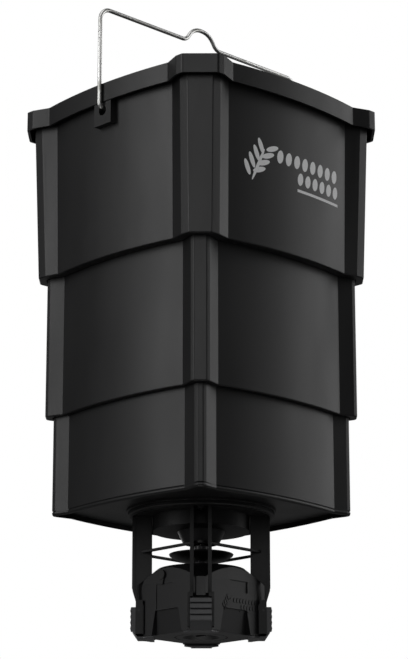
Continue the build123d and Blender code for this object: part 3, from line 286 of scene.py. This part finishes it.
def groove(piece, reach, rise, half, deep):
    """Presses a V groove into a skirt, round the outside, a little above its lowest edge."""
    outside = [vertex.co for vertex in piece.data.vertices
               if max(abs(vertex.co.x), abs(vertex.co.y)) > reach]
    level = min(place.z for place in outside) + rise
    focus(piece)
    bpy.ops.object.mode_set(mode="EDIT")
    for height in (level - half, level, level + half):
        bpy.ops.mesh.select_all(action="SELECT")
        bpy.ops.mesh.bisect(plane_co=(0.0, 0.0, height), plane_no=(0.0, 0.0, 1.0))
    bpy.ops.mesh.select_mode(type="VERT")
    mesh = bmesh.from_edit_mesh(piece.data)
    for vertex in mesh.verts:
        near = abs(vertex.co.z - level) < LEVEL_SLACK
        vertex.select_set(near and max(abs(vertex.co.x), abs(vertex.co.y)) > reach and
                          vertex.normal.xy.dot(vertex.co.xy) > 0.0)
    mesh.select_flush_mode()
    bmesh.update_edit_mesh(piece.data)
    shrink = 1.0 - deep / max(place.x for place in outside)
    bpy.ops.transform.resize(value=(shrink, shrink, 1.0), center_override=(0.0, 0.0, level))
    bpy.ops.object.mode_set(mode="OBJECT")


def merged_copy(node, name):
    """A copy of a frame node as one joined mesh, with its flat faces whole."""
    piece = NODES[node].copy()
    piece.data = NODES[node].data.copy()
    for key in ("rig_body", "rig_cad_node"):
        if key in piece:
            del piece[key]
    piece.parent = None
    bpy.context.scene.collection.objects.link(piece)
    piece.name = name
    piece.data.name = name
    focus(piece)
    if piece.data.has_custom_normals:
        bpy.ops.mesh.customdata_custom_splitnormals_clear()
    bpy.ops.object.mode_set(mode="EDIT")
    bpy.ops.mesh.select_all(action="SELECT")
    bpy.ops.mesh.remove_doubles(threshold=MERGE_GAP)
    bpy.ops.mesh.dissolve_limited(angle_limit=FLAT_FOLD)
    bpy.ops.object.mode_set(mode="OBJECT")
    return piece


def attach(piece, body, replaced=()):
    """Hangs a finished piece on a body and hides the frame nodes that it replaces."""
    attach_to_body(piece, body)
    if replaced:
        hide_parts(*replaced)


# The emblem is drawn in units of a 154th of its width.  Places are (across, up) from its middle, sizes are
# (width, height), and leans are degrees from upright.
EMBLEM_UNITS = 154.0
STALK = ((-58.0, -3.0), (4.0, 44.0), -24.0)
LEAF_PAIRS = 4
LEAF_FOOT = (-65.0, -13.0)
LEAF_STEP = (6.4, 9.5)
LEAF_ASIDE = 8.5
LEAF_LIFT = 4.0
LEAF_SIZE = (6.2, 19.0)
LEAF_SPREAD = 46.0
SEED_ROWS = (                          # how many, first one's place, from one to the next, size of each
    (8, (-25.0, 13.0), 13.6, (9.4, 16.0)),
    (6, (8.0, -6.0), 12.8, (9.0, 15.0)),
)
SEED_LEAN = -10.0
RULE = ((40.0, -20.0), (74.0, 3.2))
OVAL_SIDES = 24
RULE_STEPS = 24
AHEAD = 0.2                            # the flat emblem waits this far out along X, then is laid on its face
AHEAD_LEAST = 0.19
ROOTED = 1.6                           # its thickness, as a multiple of how far it stands out of the face


def oval(place, size, lean):
    """A flat oval facing +X, at a place in the YZ plane, leaning over by an angle in degrees."""
    deselect()
    bpy.ops.mesh.primitive_circle_add(vertices=OVAL_SIDES, radius=0.5, fill_type="TRIFAN")
    shape = bpy.context.object
    turn = Matrix.Rotation(math.radians(lean), 4, "X") @ Matrix.Rotation(math.radians(90.0), 4, "Y")
    grow = Matrix.Diagonal((size[1], size[0], 1.0, 1.0))
    shape.matrix_world = Matrix.Translation((AHEAD, *place)) @ turn @ grow
    return shape


def bar(place, size):
    """A flat bar facing +X, divided along its length so that it can follow a bowed face."""
    deselect()
    bpy.ops.mesh.primitive_grid_add(x_subdivisions=2, y_subdivisions=RULE_STEPS, size=1.0)
    shape = bpy.context.object
    turn = Matrix.Rotation(math.radians(90.0), 4, "Y")
    grow = Matrix.Diagonal((size[1], size[0], 1.0, 1.0))
    shape.matrix_world = Matrix.Translation((AHEAD, *place)) @ turn @ grow
    return shape


def join(shapes, name):
    """Makes several pieces one, with its place in its mesh."""
    deselect()
    for shape in shapes:
        shape.select_set(True)
    bpy.context.view_layer.objects.active = shapes[0]
    bpy.ops.object.join()
    return settle(bpy.context.object, name)


def draw_emblem(across, up, wide):
    """The emblem's flat shapes: a leafy sprig beside two rows of seeds and a rule."""
    unit = wide / EMBLEM_UNITS

    def at(place):
        return across + place[0] * unit, up + place[1] * unit

    def sized(size):
        return size[0] * unit, size[1] * unit

    shapes = [oval(at(STALK[0]), sized(STALK[1]), STALK[2])]
    for pair in range(LEAF_PAIRS):
        for side in (-1, 1):
            foot = (LEAF_FOOT[0] + LEAF_STEP[0] * pair + side * LEAF_ASIDE,
                    LEAF_FOOT[1] + LEAF_STEP[1] * pair + LEAF_LIFT)
            shapes.append(oval(at(foot), sized(LEAF_SIZE), STALK[2] - side * LEAF_SPREAD))
    for count, first, pitch, size in SEED_ROWS:
        for column in range(count):
            shapes.append(oval(at((first[0] + pitch * column, first[1])), sized(size), SEED_LEAN))
    shapes.append(bar(at(RULE[0]), sized(RULE[1])))
    return shapes


def emblem(name, target, across, up, wide, thick):
    """The plain emblem, laid on the +X face of a piece and standing out of it."""
    piece = join(draw_emblem(across, up, wide), name)
    lay = piece.modifiers.new("lay", "SHRINKWRAP")
    lay.wrap_method = "PROJECT"
    lay.use_project_x = True
    lay.use_positive_direction = False
    lay.use_negative_direction = True
    lay.target = target
    lay.offset = thick
    bpy.ops.object.modifier_apply(modifier=lay.name)
    if max(vertex.co.x for vertex in piece.data.vertices) > AHEAD_LEAST:
        raise RuntimeError(name + " runs off the face it is laid on")
    body = piece.modifiers.new("body", "SOLIDIFY")
    body.thickness = thick * ROOTED
    body.offset = -1.0
    bpy.ops.object.modifier_apply(modifier=body.name)
    return piece


def paint(piece, material):
    """Gives a piece one material."""
    piece.data.materials.clear()
    piece.data.materials.append(material)


# ---------------------------------------------------------------- materials


def add_node(tree, kind, inputs=None, **settings):
    """Adds one node: each input is a value to set or an output to link from."""
    made = tree.nodes.new(kind)
    for key, value in settings.items():
        setattr(made, key, value)
    for key, value in (inputs or {}).items():
        if isinstance(value, bpy.types.NodeSocket):
            tree.links.new(value, made.inputs[key])
        else:
            made.inputs[key].default_value = value
    return made


def blank(name):
    """A new material with only its shader and output, and the Object coordinates."""
    material = bpy.data.materials.new(name)
    material.use_nodes = True
    tree = material.node_tree
    tree.nodes.clear()
    shader = add_node(tree, "ShaderNodeBsdfPrincipled")
    add_node(tree, "ShaderNodeOutputMaterial", {"Surface": shader.outputs[0]})
    place = add_node(tree, "ShaderNodeTexCoord").outputs["Object"]
    return material, tree, shader, place


def per_metre(size):
    """How many repeats of a pattern of this size fit in a metre."""
    return 1.0 / size


def edge_wear(tree, place, reach, patch):
    """A mask of the rubbed stretches of convex edges."""
    rounded = add_node(tree, "ShaderNodeBevel", {"Radius": reach}, samples=4)
    true = add_node(tree, "ShaderNodeNewGeometry")
    turn = add_node(tree, "ShaderNodeVectorMath", {0: rounded.outputs[0], 1: true.outputs["Normal"]},
                    operation="DOT_PRODUCT")
    edge = add_node(tree, "ShaderNodeMapRange", {"Value": turn.outputs["Value"], "From Min": 0.985,
                                                 "From Max": 0.86, "To Min": 0.0, "To Max": 1.0})
    rub = add_node(tree, "ShaderNodeTexNoise", {"Vector": place, "Scale": per_metre(patch), "Detail": 5.0})
    spread = add_node(tree, "ShaderNodeMapRange", {"Value": rub.outputs["Fac"], "From Min": 0.45,
                                                   "From Max": 0.62})
    mask = add_node(tree, "ShaderNodeMath", {0: edge.outputs[0], 1: spread.outputs[0]}, operation="MULTIPLY")
    return mask.outputs[0]


def moulded_polypropylene(name, colour, scuffed, rough, grain):
    """Polypropylene, injection moulded against a spark-eroded tool.

    The tool leaves a fine even pitting, which spreads highlights into a satin.  Flow of the melt leaves
    faint cloudy bands, and handling polishes some patches and greys the edges.
    """
    material, tree, shader, place = blank(name)
    stretch = add_node(tree, "ShaderNodeMapping", {"Vector": place, "Scale": (1.0, 1.0, 0.35)})
    flow = add_node(tree, "ShaderNodeTexNoise", {"Vector": stretch.outputs[0], "Scale": per_metre(0.06),
                                                 "Detail": 3.0, "Roughness": 0.45})
    dust = add_node(tree, "ShaderNodeTexNoise", {"Vector": place, "Scale": per_metre(0.004), "Detail": 4.0})
    # The real pits are about 0.1 mm across; they are drawn coarser so that a render can show them.
    pits = add_node(tree, "ShaderNodeTexNoise", {"Vector": place, "Scale": per_metre(grain), "Detail": 2.0})
    worn = edge_wear(tree, place, 0.0016, 0.018)
    base = linear(colour)
    cloud = [c * 1.35 for c in base[:3]] + [1.0]
    tone = add_node(tree, "ShaderNodeMix", {0: flow.outputs["Fac"], 6: base, 7: cloud}, data_type="RGBA")
    share = add_node(tree, "ShaderNodeMath", {0: worn, 1: 0.55}, operation="MULTIPLY")
    rubbed = add_node(tree, "ShaderNodeMix", {0: share.outputs[0], 6: tone.outputs[2], 7: linear(scuffed)},
                      data_type="RGBA")
    tree.links.new(rubbed.outputs[2], shader.inputs["Base Color"])
    sheen = add_node(tree, "ShaderNodeMapRange", {"Value": flow.outputs["Fac"], "From Min": 0.3,
                                                  "From Max": 0.7,
                                                  "To Min": rough - 0.04, "To Max": rough + 0.04})
    speck = add_node(tree, "ShaderNodeMath", {0: dust.outputs["Fac"], 1: 0.06, 2: sheen.outputs[0]},
                     operation="MULTIPLY_ADD")
    gloss = add_node(tree, "ShaderNodeMath", {0: worn, 1: 0.08, 2: speck.outputs[0]},
                     operation="MULTIPLY_ADD")
    tree.links.new(gloss.outputs[0], shader.inputs["Roughness"])
    bump = add_node(tree, "ShaderNodeBump", {"Height": pits.outputs["Fac"], "Strength": 0.16,
                                             "Distance": grain * 0.25})
    tree.links.new(bump.outputs[0], shader.inputs["Normal"])
    shader.inputs["IOR"].default_value = 1.49
    return material


def plated_metal(name, colour, dull, rough, spangle):
    """Zinc-plated steel, bright dipped: a mirror softened by fine crystals, with duller patches."""
    material, tree, shader, place = blank(name)
    crystals = add_node(tree, "ShaderNodeTexVoronoi", {"Vector": place, "Scale": per_metre(spangle)})
    tarnish = add_node(tree, "ShaderNodeTexNoise", {"Vector": place, "Scale": per_metre(0.02),
                                                    "Detail": 6.0})
    fine = add_node(tree, "ShaderNodeTexNoise", {"Vector": place, "Scale": per_metre(0.0008), "Detail": 2.0})
    patch = add_node(tree, "ShaderNodeMapRange", {"Value": tarnish.outputs["Fac"], "From Min": 0.48,
                                                  "From Max": 0.7})
    tone = add_node(tree, "ShaderNodeMix", {0: patch.outputs[0], 6: linear(colour), 7: linear(dull)},
                    data_type="RGBA")
    tree.links.new(tone.outputs[2], shader.inputs["Base Color"])
    grain = add_node(tree, "ShaderNodeMath", {0: crystals.outputs["Distance"], 1: 0.03, 2: rough},
                     operation="MULTIPLY_ADD")
    gloss = add_node(tree, "ShaderNodeMath", {0: patch.outputs[0], 1: 0.14, 2: grain.outputs[0]},
                     operation="MULTIPLY_ADD")
    tree.links.new(gloss.outputs[0], shader.inputs["Roughness"])
    bump = add_node(tree, "ShaderNodeBump", {"Height": fine.outputs["Fac"], "Strength": 0.04,
                                             "Distance": 0.0001})
    tree.links.new(bump.outputs[0], shader.inputs["Normal"])
    shader.inputs["Metallic"].default_value = 1.0
    return material


def soft_rubber(name, colour, pale, rough, cell):
    """Rubber or foam, moulded or foamed: dull and dark, with a fine cell pattern and a pale bloom."""
    material, tree, shader, place = blank(name)
    cells = add_node(tree, "ShaderNodeTexVoronoi", {"Vector": place, "Scale": per_metre(cell)})
    bloom = add_node(tree, "ShaderNodeTexNoise", {"Vector": place, "Scale": per_metre(0.006), "Detail": 5.0})
    patch = add_node(tree, "ShaderNodeMapRange", {"Value": bloom.outputs["Fac"], "From Min": 0.42,
                                                  "From Max": 0.7})
    tone = add_node(tree, "ShaderNodeMix", {0: patch.outputs[0], 6: linear(colour), 7: linear(pale)},
                    data_type="RGBA")
    tree.links.new(tone.outputs[2], shader.inputs["Base Color"])
    gloss = add_node(tree, "ShaderNodeMath", {0: bloom.outputs["Fac"], 1: 0.2, 2: rough},
                     operation="MULTIPLY_ADD")
    tree.links.new(gloss.outputs[0], shader.inputs["Roughness"])
    bump = add_node(tree, "ShaderNodeBump", {"Height": cells.outputs["Distance"], "Strength": 0.3,
                                             "Distance": cell * 0.3})
    tree.links.new(bump.outputs[0], shader.inputs["Normal"])
    shader.inputs["IOR"].default_value = 1.45
    return material


def brushed_steel(name, colour, dark, rough, pitch):
    """Steel, drawn and brushed round its axis: fine lines that stretch each highlight across them."""
    material, tree, shader, place = blank(name)
    squeeze = add_node(tree, "ShaderNodeMapping", {"Vector": place, "Scale": (0.04, 0.04, 1.0)})
    lines = add_node(tree, "ShaderNodeTexNoise", {"Vector": squeeze.outputs[0], "Scale": per_metre(pitch),
                                                  "Detail": 3.0})
    stain = add_node(tree, "ShaderNodeTexNoise", {"Vector": place, "Scale": per_metre(0.012), "Detail": 4.0})
    tone = add_node(tree, "ShaderNodeMix", {0: stain.outputs["Fac"], 6: linear(colour), 7: linear(dark)},
                    data_type="RGBA")
    tree.links.new(tone.outputs[2], shader.inputs["Base Color"])
    gloss = add_node(tree, "ShaderNodeMath", {0: lines.outputs["Fac"], 1: 0.2, 2: rough},
                     operation="MULTIPLY_ADD")
    tree.links.new(gloss.outputs[0], shader.inputs["Roughness"])
    bump = add_node(tree, "ShaderNodeBump", {"Height": lines.outputs["Fac"], "Strength": 0.15,
                                             "Distance": pitch * 0.3})
    tree.links.new(bump.outputs[0], shader.inputs["Normal"])
    shader.inputs["Metallic"].default_value = 1.0
    return material


def solder_mask(name):
    """Glass-epoxy board under green solder mask, printed and cured: thin copper tracks stand up under it."""
    material, tree, shader, place = blank(name)
    tracks = add_node(tree, "ShaderNodeTexBrick", {
        "Vector": place, "Scale": per_metre(0.05), "Color1": linear("#14532c"), "Color2": linear("#1a6336"),
        "Mortar": linear("#0d3a1f"), "Mortar Size": 0.02, "Brick Width": 0.5, "Row Height": 0.1})
    weave = add_node(tree, "ShaderNodeTexNoise", {"Vector": place, "Scale": per_metre(0.0012),
                                                  "Detail": 2.0})
    tree.links.new(tracks.outputs["Color"], shader.inputs["Base Color"])
    gloss = add_node(tree, "ShaderNodeMath", {0: weave.outputs["Fac"], 1: 0.2, 2: 0.22},
                     operation="MULTIPLY_ADD")
    tree.links.new(gloss.outputs[0], shader.inputs["Roughness"])
    bump = add_node(tree, "ShaderNodeBump", {"Height": tracks.outputs["Fac"], "Strength": 0.4,
                                             "Distance": 0.00005})
    tree.links.new(bump.outputs[0], shader.inputs["Normal"])
    return material


def liquid_crystal(name):
    """Glass over a grey-green liquid crystal layer: smooth, faintly mottled, with finger haze."""
    material, tree, shader, place = blank(name)
    haze = add_node(tree, "ShaderNodeTexNoise", {"Vector": place, "Scale": per_metre(0.007), "Detail": 5.0})
    tone = add_node(tree, "ShaderNodeMix", {0: haze.outputs["Fac"], 6: linear("#6f7d6c"),
                                            7: linear("#7f8c78")},
                    data_type="RGBA")
    tree.links.new(tone.outputs[2], shader.inputs["Base Color"])
    gloss = add_node(tree, "ShaderNodeMath", {0: haze.outputs["Fac"], 1: 0.12, 2: 0.02},
                     operation="MULTIPLY_ADD")
    tree.links.new(gloss.outputs[0], shader.inputs["Roughness"])
    bump = add_node(tree, "ShaderNodeBump", {"Height": haze.outputs["Fac"], "Strength": 0.03,
                                             "Distance": 0.0001})
    tree.links.new(bump.outputs[0], shader.inputs["Normal"])
    return material


def screen_ink(name, colour, thin):
    """Screen ink, printed in one pass on the moulded panel: flat and matt, with pinholes and a thin rim."""
    material, tree, shader, place = blank(name)
    pinholes = add_node(tree, "ShaderNodeTexNoise", {"Vector": place, "Scale": per_metre(0.0012),
                                                     "Detail": 3.0})
    patch = add_node(tree, "ShaderNodeMapRange", {"Value": pinholes.outputs["Fac"], "From Min": 0.62,
                                                  "From Max": 0.75})
    tone = add_node(tree, "ShaderNodeMix", {0: patch.outputs[0], 6: linear(colour), 7: linear(thin)},
                    data_type="RGBA")
    tree.links.new(tone.outputs[2], shader.inputs["Base Color"])
    gloss = add_node(tree, "ShaderNodeMath", {0: pinholes.outputs["Fac"], 1: 0.2, 2: 0.42},
                     operation="MULTIPLY_ADD")
    tree.links.new(gloss.outputs[0], shader.inputs["Roughness"])
    bump = add_node(tree, "ShaderNodeBump", {"Height": pinholes.outputs["Fac"], "Strength": 0.1,
                                             "Distance": 0.0001})
    tree.links.new(bump.outputs[0], shader.inputs["Normal"])
    return material


def make_materials(colours):
    """One material for each of the record's slots, a darker and a paler copy of its polymer for painted shade
    and painted light, and the print.
    """
    return {
        "hopper_polymer": moulded_polypropylene(
            "polypropylene_moulded_satin", colours.polymer, colours.polymer_scuffed, 0.40, 0.0011),
        "unit_polymer": moulded_polypropylene(
            "polypropylene_moulded_unit", colours.unit, colours.polymer_scuffed, 0.38, 0.0008),
        # Darker, matt copy of the black polymer: painted shade for the legs, guard ring and rail webs.
        "painted_shade_polymer": moulded_polypropylene(
            "polypropylene_painted_shade_matt", "#070708", "#222223", 0.52, 0.0008),
        # Paler copy of the black polymer: painted light on the funnel.
        "painted_light_funnel_polymer": moulded_polypropylene(
            "polypropylene_painted_light_funnel", "#1f1f20", "#333334", 0.36, 0.0008),
        "latch_polymer": moulded_polypropylene(
            "acetal_moulded_latch", "#323234", "#505051", 0.36, 0.0007),
        "bail_wire": plated_metal("steel_wire_bright_zinc", colours.wire, "#b4b4ae", 0.26, 0.003),
        "black_hardware": brushed_steel("steel_screw_black_oxide", "#1c1c1d", "#2b2b2b", 0.3, 0.0005),
        "zinc_hardware": plated_metal("steel_hardware_zinc_plated", "#b9b9b4", "#8f8f88", 0.24, 0.0015),
        "foam_seal": soft_rubber("foam_closed_cell_cut", "#1b1b1b", "#2e2e2e", 0.75, 0.0012),
        "black_rubber": soft_rubber("rubber_moulded_black", "#131313", "#262625", 0.5, 0.0009),
        "motor_steel": brushed_steel("steel_can_drawn", "#b0b0ad", "#8c8c88", 0.22, 0.0005),
        "shaft_steel": brushed_steel("steel_shaft_ground", "#cfcfcc", "#a9a9a4", 0.10, 0.0004),
        "battery_case": moulded_polypropylene("abs_battery_case_moulded", "#35383d", "#55585c", 0.42,
                                              0.0009),
        "brass_tab": plated_metal("brass_tab_tinned", "#c9b27a", "#a08a56", 0.25, 0.001),
        "circuit_board": solder_mask("epoxy_board_solder_mask"),
        "display_glass": liquid_crystal("glass_display_polished"),
        "lead_insulation": soft_rubber("pvc_lead_extruded", "#6d1512", "#7d2420", 0.35, 0.002),
        "ink": screen_ink("screen_ink_printed", colours.ink, "#c9cacb"),
    }


MATERIALS = {}
# Pieces drawn in a copy of their slot's black as painted light and shade: the legs and guard ring in the darker
# painted-shade copy, the funnel in the paler painted-light copy, and the hub in the latch's paler grey as a
# painted highlight.
FINISH_OF = {"leg_frame": "painted_shade_polymer", "guard_ring": "painted_shade_polymer", "spinner_hub": "latch_polymer",
             "feed_funnel": "painted_light_funnel_polymer"}


# ---------------------------------------------------------------- operators


class FEEDER_OT_finishes(bpy.types.Operator):
    """Gives every piece of the frame its material"""

    bl_idname = "feeder.finishes"
    bl_label = "Finishes"

    def execute(self, context):
        MATERIALS.update(make_materials(context.scene.feeder_colours))
        for node, piece in NODES.items():
            paint(piece, MATERIALS[SLOT_OF[node]])
        return {"FINISHED"}


def moulded(node, edge, shape):
    """A copy of a frame node with rounded edges, in its finish and on its body, shown in the node's place."""
    piece = merged_copy(node, node + "_moulded")
    soften(piece, edge, shape.edge_steps, shape.sharp_angle)
    paint(piece, MATERIALS[FINISH_OF.get(node, SLOT_OF[node])])
    attach(piece, BODY_OF[node], [node])
    return piece


class FEEDER_OT_hopper(bpy.types.Operator):
    """Rounds the moulded edges of the hopper's sections and lid, and grooves its lowest skirt"""

    bl_idname = "feeder.hopper"
    bl_label = "Hopper skins"

    def execute(self, context):
        shape = context.scene.feeder_shape
        for node in HOPPER_PIECES:
            piece = moulded(node, shape.hopper_edge, shape)
            if node == "bottom_section":
                groove(piece, shape.skirt_reach, shape.groove_rise, shape.groove_half, shape.groove_deep)
                shade_again(piece, shape.sharp_angle)
        return {"FINISHED"}


class FEEDER_OT_unit(bpy.types.Operator):
    """Rounds the edges of the bail, funnel, legs, timer unit, spinner and latches"""

    bl_idname = "feeder.unit"
    bl_label = "Unit skins"

    def execute(self, context):
        shape = context.scene.feeder_shape
        for node in UNIT_PIECES:
            moulded(node, shape.unit_edge, shape)
        return {"FINISHED"}


class FEEDER_OT_emblem(bpy.types.Operator):
    """Prints the plain emblem on the hopper and moulds it on the timer unit"""

    bl_idname = "feeder.emblem"
    bl_label = "Emblem"

    def execute(self, context):
        shape = context.scene.feeder_shape
        top = bpy.data.objects["top_section_moulded"]
        case = bpy.data.objects["unit_case_moulded"]
        printed = emblem("hopper_emblem_printed", top, shape.emblem_across, shape.emblem_level,
                         shape.emblem_wide, shape.ink_thick)
        paint(printed, MATERIALS["ink"])
        attach(printed, "hopper")
        relief = emblem("unit_emblem_moulded", case, shape.relief_across, shape.relief_level,
                        shape.relief_wide, shape.relief_thick)
        paint(relief, MATERIALS["unit_polymer"])
        attach(relief, "base")
        return {"FINISHED"}


class FEEDER_OT_studs(bpy.types.Operator):
    """Sets the ring of small studs under the bottom cover"""

    bl_idname = "feeder.studs"
    bl_label = "Cover studs"

    def execute(self, context):
        shape = context.scene.feeder_shape
        level = low("bottom_cover").z + shape.stud_sunk
        ring = []
        for step in range(shape.studs):
            turn = 2.0 * math.pi * step / shape.studs
            deselect()
            bpy.ops.mesh.primitive_uv_sphere_add(
                segments=16, ring_count=8, radius=shape.stud_size / 2,
                location=(shape.stud_ring * math.sin(turn), shape.stud_ring * math.cos(turn), level))
            ring.append(bpy.context.object)
        piece = join(ring, "cover_studs")
        bpy.ops.object.shade_smooth()
        paint(piece, MATERIALS["unit_polymer"])
        attach(piece, "base")
        return {"FINISHED"}


class FEEDER_OT_webs(bpy.types.Operator):
    """Joins each leg rail to the timer unit's side with a thin upright web"""

    bl_idname = "feeder.webs"
    bl_label = "Rail webs"

    def execute(self, context):
        shape = context.scene.feeder_shape
        foot = low("unit_case").z + shape.web_rise
        level = (shape.web_top + foot) / 2
        grow = Matrix.Diagonal((shape.web_deep, shape.web_wide, shape.web_top - foot, 1.0))
        webs = []
        for corner in range(4):
            turn = Matrix.Rotation(math.radians(45.0 + 90.0 * corner), 4, "Z")
            for side in (-1, 1):
                deselect()
                bpy.ops.mesh.primitive_cube_add(size=1.0)
                web = bpy.context.object
                place = Matrix.Translation((shape.web_reach, side * shape.web_aside, level))
                web.matrix_world = turn @ place @ grow
                webs.append(web)
        piece = join(webs, "rail_webs")
        soften(piece, shape.web_edge, shape.edge_steps, shape.sharp_angle)
        # The webs take the darker painted-shade copy of the polymer.
        paint(piece, MATERIALS["painted_shade_polymer"])
        attach(piece, "base")
        return {"FINISHED"}


# name, direction round from the front and up from level in degrees, (width, height) in metres, watts
LIGHTS = (
    ("softbox_left", -20.0, 17.0, (0.9, 2.4), 22.0),
    ("softbox_right", 152.0, 17.0, (1.2, 2.4), 15.5),
    ("softbox_camera", 45.0, 17.0, (1.2, 1.8), 9.0),
    ("softbox_top", 20.0, 70.0, (2.4, 2.4), 14.0),
    ("softbox_back", 250.0, 17.0, (1.2, 2.4), 8.0),
)


class FEEDER_OT_studio(bpy.types.Operator):
    """Sets up the pale floor, the soft lights, the white backdrop and the camera"""

    bl_idname = "feeder.studio"
    bl_label = "Studio"

    def execute(self, context):
        studio = context.scene.feeder_studio
        self.lay_floor(studio)
        self.light_room(context, studio)
        for name, turn, rise, size, power in LIGHTS:
            self.hang_light(studio, name, math.radians(turn), math.radians(rise), size, power)
        self.light_floor(studio)
        self.place_camera(context, studio)
        context.scene.view_settings.view_transform = "Standard"
        return {"FINISHED"}

    def lay_floor(self, studio):
        """Lays the pale round floor far below the feeder."""
        deselect()
        bpy.ops.mesh.primitive_circle_add(
            vertices=96, radius=studio.floor_reach, fill_type="NGON", location=(0, 0, -studio.floor_drop))
        floor = settle(bpy.context.object, "studio_floor")
        material, tree, shader, place = blank("paper_floor_rolled")
        fibre = add_node(tree, "ShaderNodeTexNoise", {"Vector": place, "Scale": per_metre(0.3), "Detail": 3.0})
        tone = add_node(tree, "ShaderNodeMix",
                        {0: fibre.outputs["Fac"], 6: linear("#e4e4e3"), 7: linear("#ececea")}, data_type="RGBA")
        tree.links.new(tone.outputs[2], shader.inputs["Base Color"])
        shader.inputs["Roughness"].default_value = 0.8
        paint(floor, material)

    def light_room(self, context, studio):
        """Shows the camera a white backdrop, and gives the pieces only a dim light from all round."""
        room = bpy.data.worlds.new("studio_room")
        room.use_nodes = True
        tree = room.node_tree
        tree.nodes.clear()
        seen = add_node(tree, "ShaderNodeBackground", {"Color": (1, 1, 1, 1), "Strength": studio.backdrop})
        felt = add_node(tree, "ShaderNodeBackground", {"Color": (1, 1, 1, 1), "Strength": studio.fill})
        path = add_node(tree, "ShaderNodeLightPath")
        both = add_node(tree, "ShaderNodeMixShader", {0: path.outputs["Is Camera Ray"], 1: felt.outputs[0],
                                                      2: seen.outputs[0]})
        add_node(tree, "ShaderNodeOutputWorld", {"Surface": both.outputs[0]})
        context.scene.world = room

    def hang_light(self, studio, name, turn, rise, size, power):
        """Hangs one soft light in a direction from the feeder, turned towards it."""
        lamp = bpy.data.lights.new(name, "AREA")
        lamp.shape = "RECTANGLE"
        lamp.size, lamp.size_y = size
        lamp.energy = power
        holder = bpy.data.objects.new(name, lamp)
        bpy.context.scene.collection.objects.link(holder)
        target = Vector((0, 0, studio.aim))
        way = Vector((math.sin(turn) * math.cos(rise), -math.cos(turn) * math.cos(rise), math.sin(rise)))
        holder.matrix_world = Matrix.Translation(target + way * studio.light_distance) @ (
            way.to_track_quat("Z", "Y").to_matrix().to_4x4())
        holder.visible_camera = False

    def light_floor(self, studio):
        """Hangs a light that shines down on the floor alone."""
        lamp = bpy.data.lights.new("softbox_floor", "AREA")
        lamp.size = studio.floor_light_wide
        lamp.energy = studio.floor_light
        holder = bpy.data.objects.new("softbox_floor", lamp)
        bpy.context.scene.collection.objects.link(holder)
        holder.location = (0.0, 0.0, studio.floor_light_rise - studio.floor_drop)
        holder.visible_camera = False

    def place_camera(self, context, studio):
        """Sets the camera low in front of one corner, looking up."""
        lens = bpy.data.cameras.new("studio_camera")
        lens.lens = studio.lens
        lens.sensor_width = 36.0
        lens.shift_x = studio.shift
        lens.clip_end = 50.0
        camera = bpy.data.objects.new("studio_camera", lens)
        context.scene.collection.objects.link(camera)
        camera.location = (studio.distance * math.sin(studio.turn), -studio.distance * math.cos(studio.turn),
                           -studio.drop)
        camera.rotation_euler = (math.pi / 2 + studio.pitch, 0.0, studio.turn)
        context.scene.camera = camera


class FEEDER_PT_panel(bpy.types.Panel):
    """Lists the feeder's settings and steps"""

    bl_idname = "FEEDER_PT_panel"
    bl_label = "Hanging Feeder"
    bl_space_type = "VIEW_3D"
    bl_region_type = "UI"
    bl_category = "Feeder"

    def draw(self, context):
        for group in ("feeder_shape", "feeder_colours", "feeder_studio"):
            settings = getattr(context.scene, group)
            box = self.layout.box()
            for key in settings.bl_rna.properties.keys():
                if key not in ("rna_type", "name"):
                    box.prop(settings, key)
        for step in STEPS:
            self.layout.operator(step.bl_idname)


GROUPS = {"feeder_shape": FeederShape, "feeder_colours": FeederColours, "feeder_studio": FeederStudio}
STEPS = (FEEDER_OT_finishes, FEEDER_OT_studio, FEEDER_OT_hopper, FEEDER_OT_unit, FEEDER_OT_emblem,
         FEEDER_OT_studs, FEEDER_OT_webs)


def register():
    for cls in (*GROUPS.values(), *STEPS, FEEDER_PT_panel):
        bpy.utils.register_class(cls)
    for name, cls in GROUPS.items():
        setattr(bpy.types.Scene, name, PointerProperty(type=cls))


def unregister():
    for name in GROUPS:
        delattr(bpy.types.Scene, name)
    for cls in (FEEDER_PT_panel, *STEPS[::-1], *GROUPS.values()):
        bpy.utils.unregister_class(cls)


def main():
    register()
    for step in STEPS:
        group, name = step.bl_idname.split(".")
        getattr(getattr(bpy.ops, group), name)()


if __name__ == "__main__":
    main()
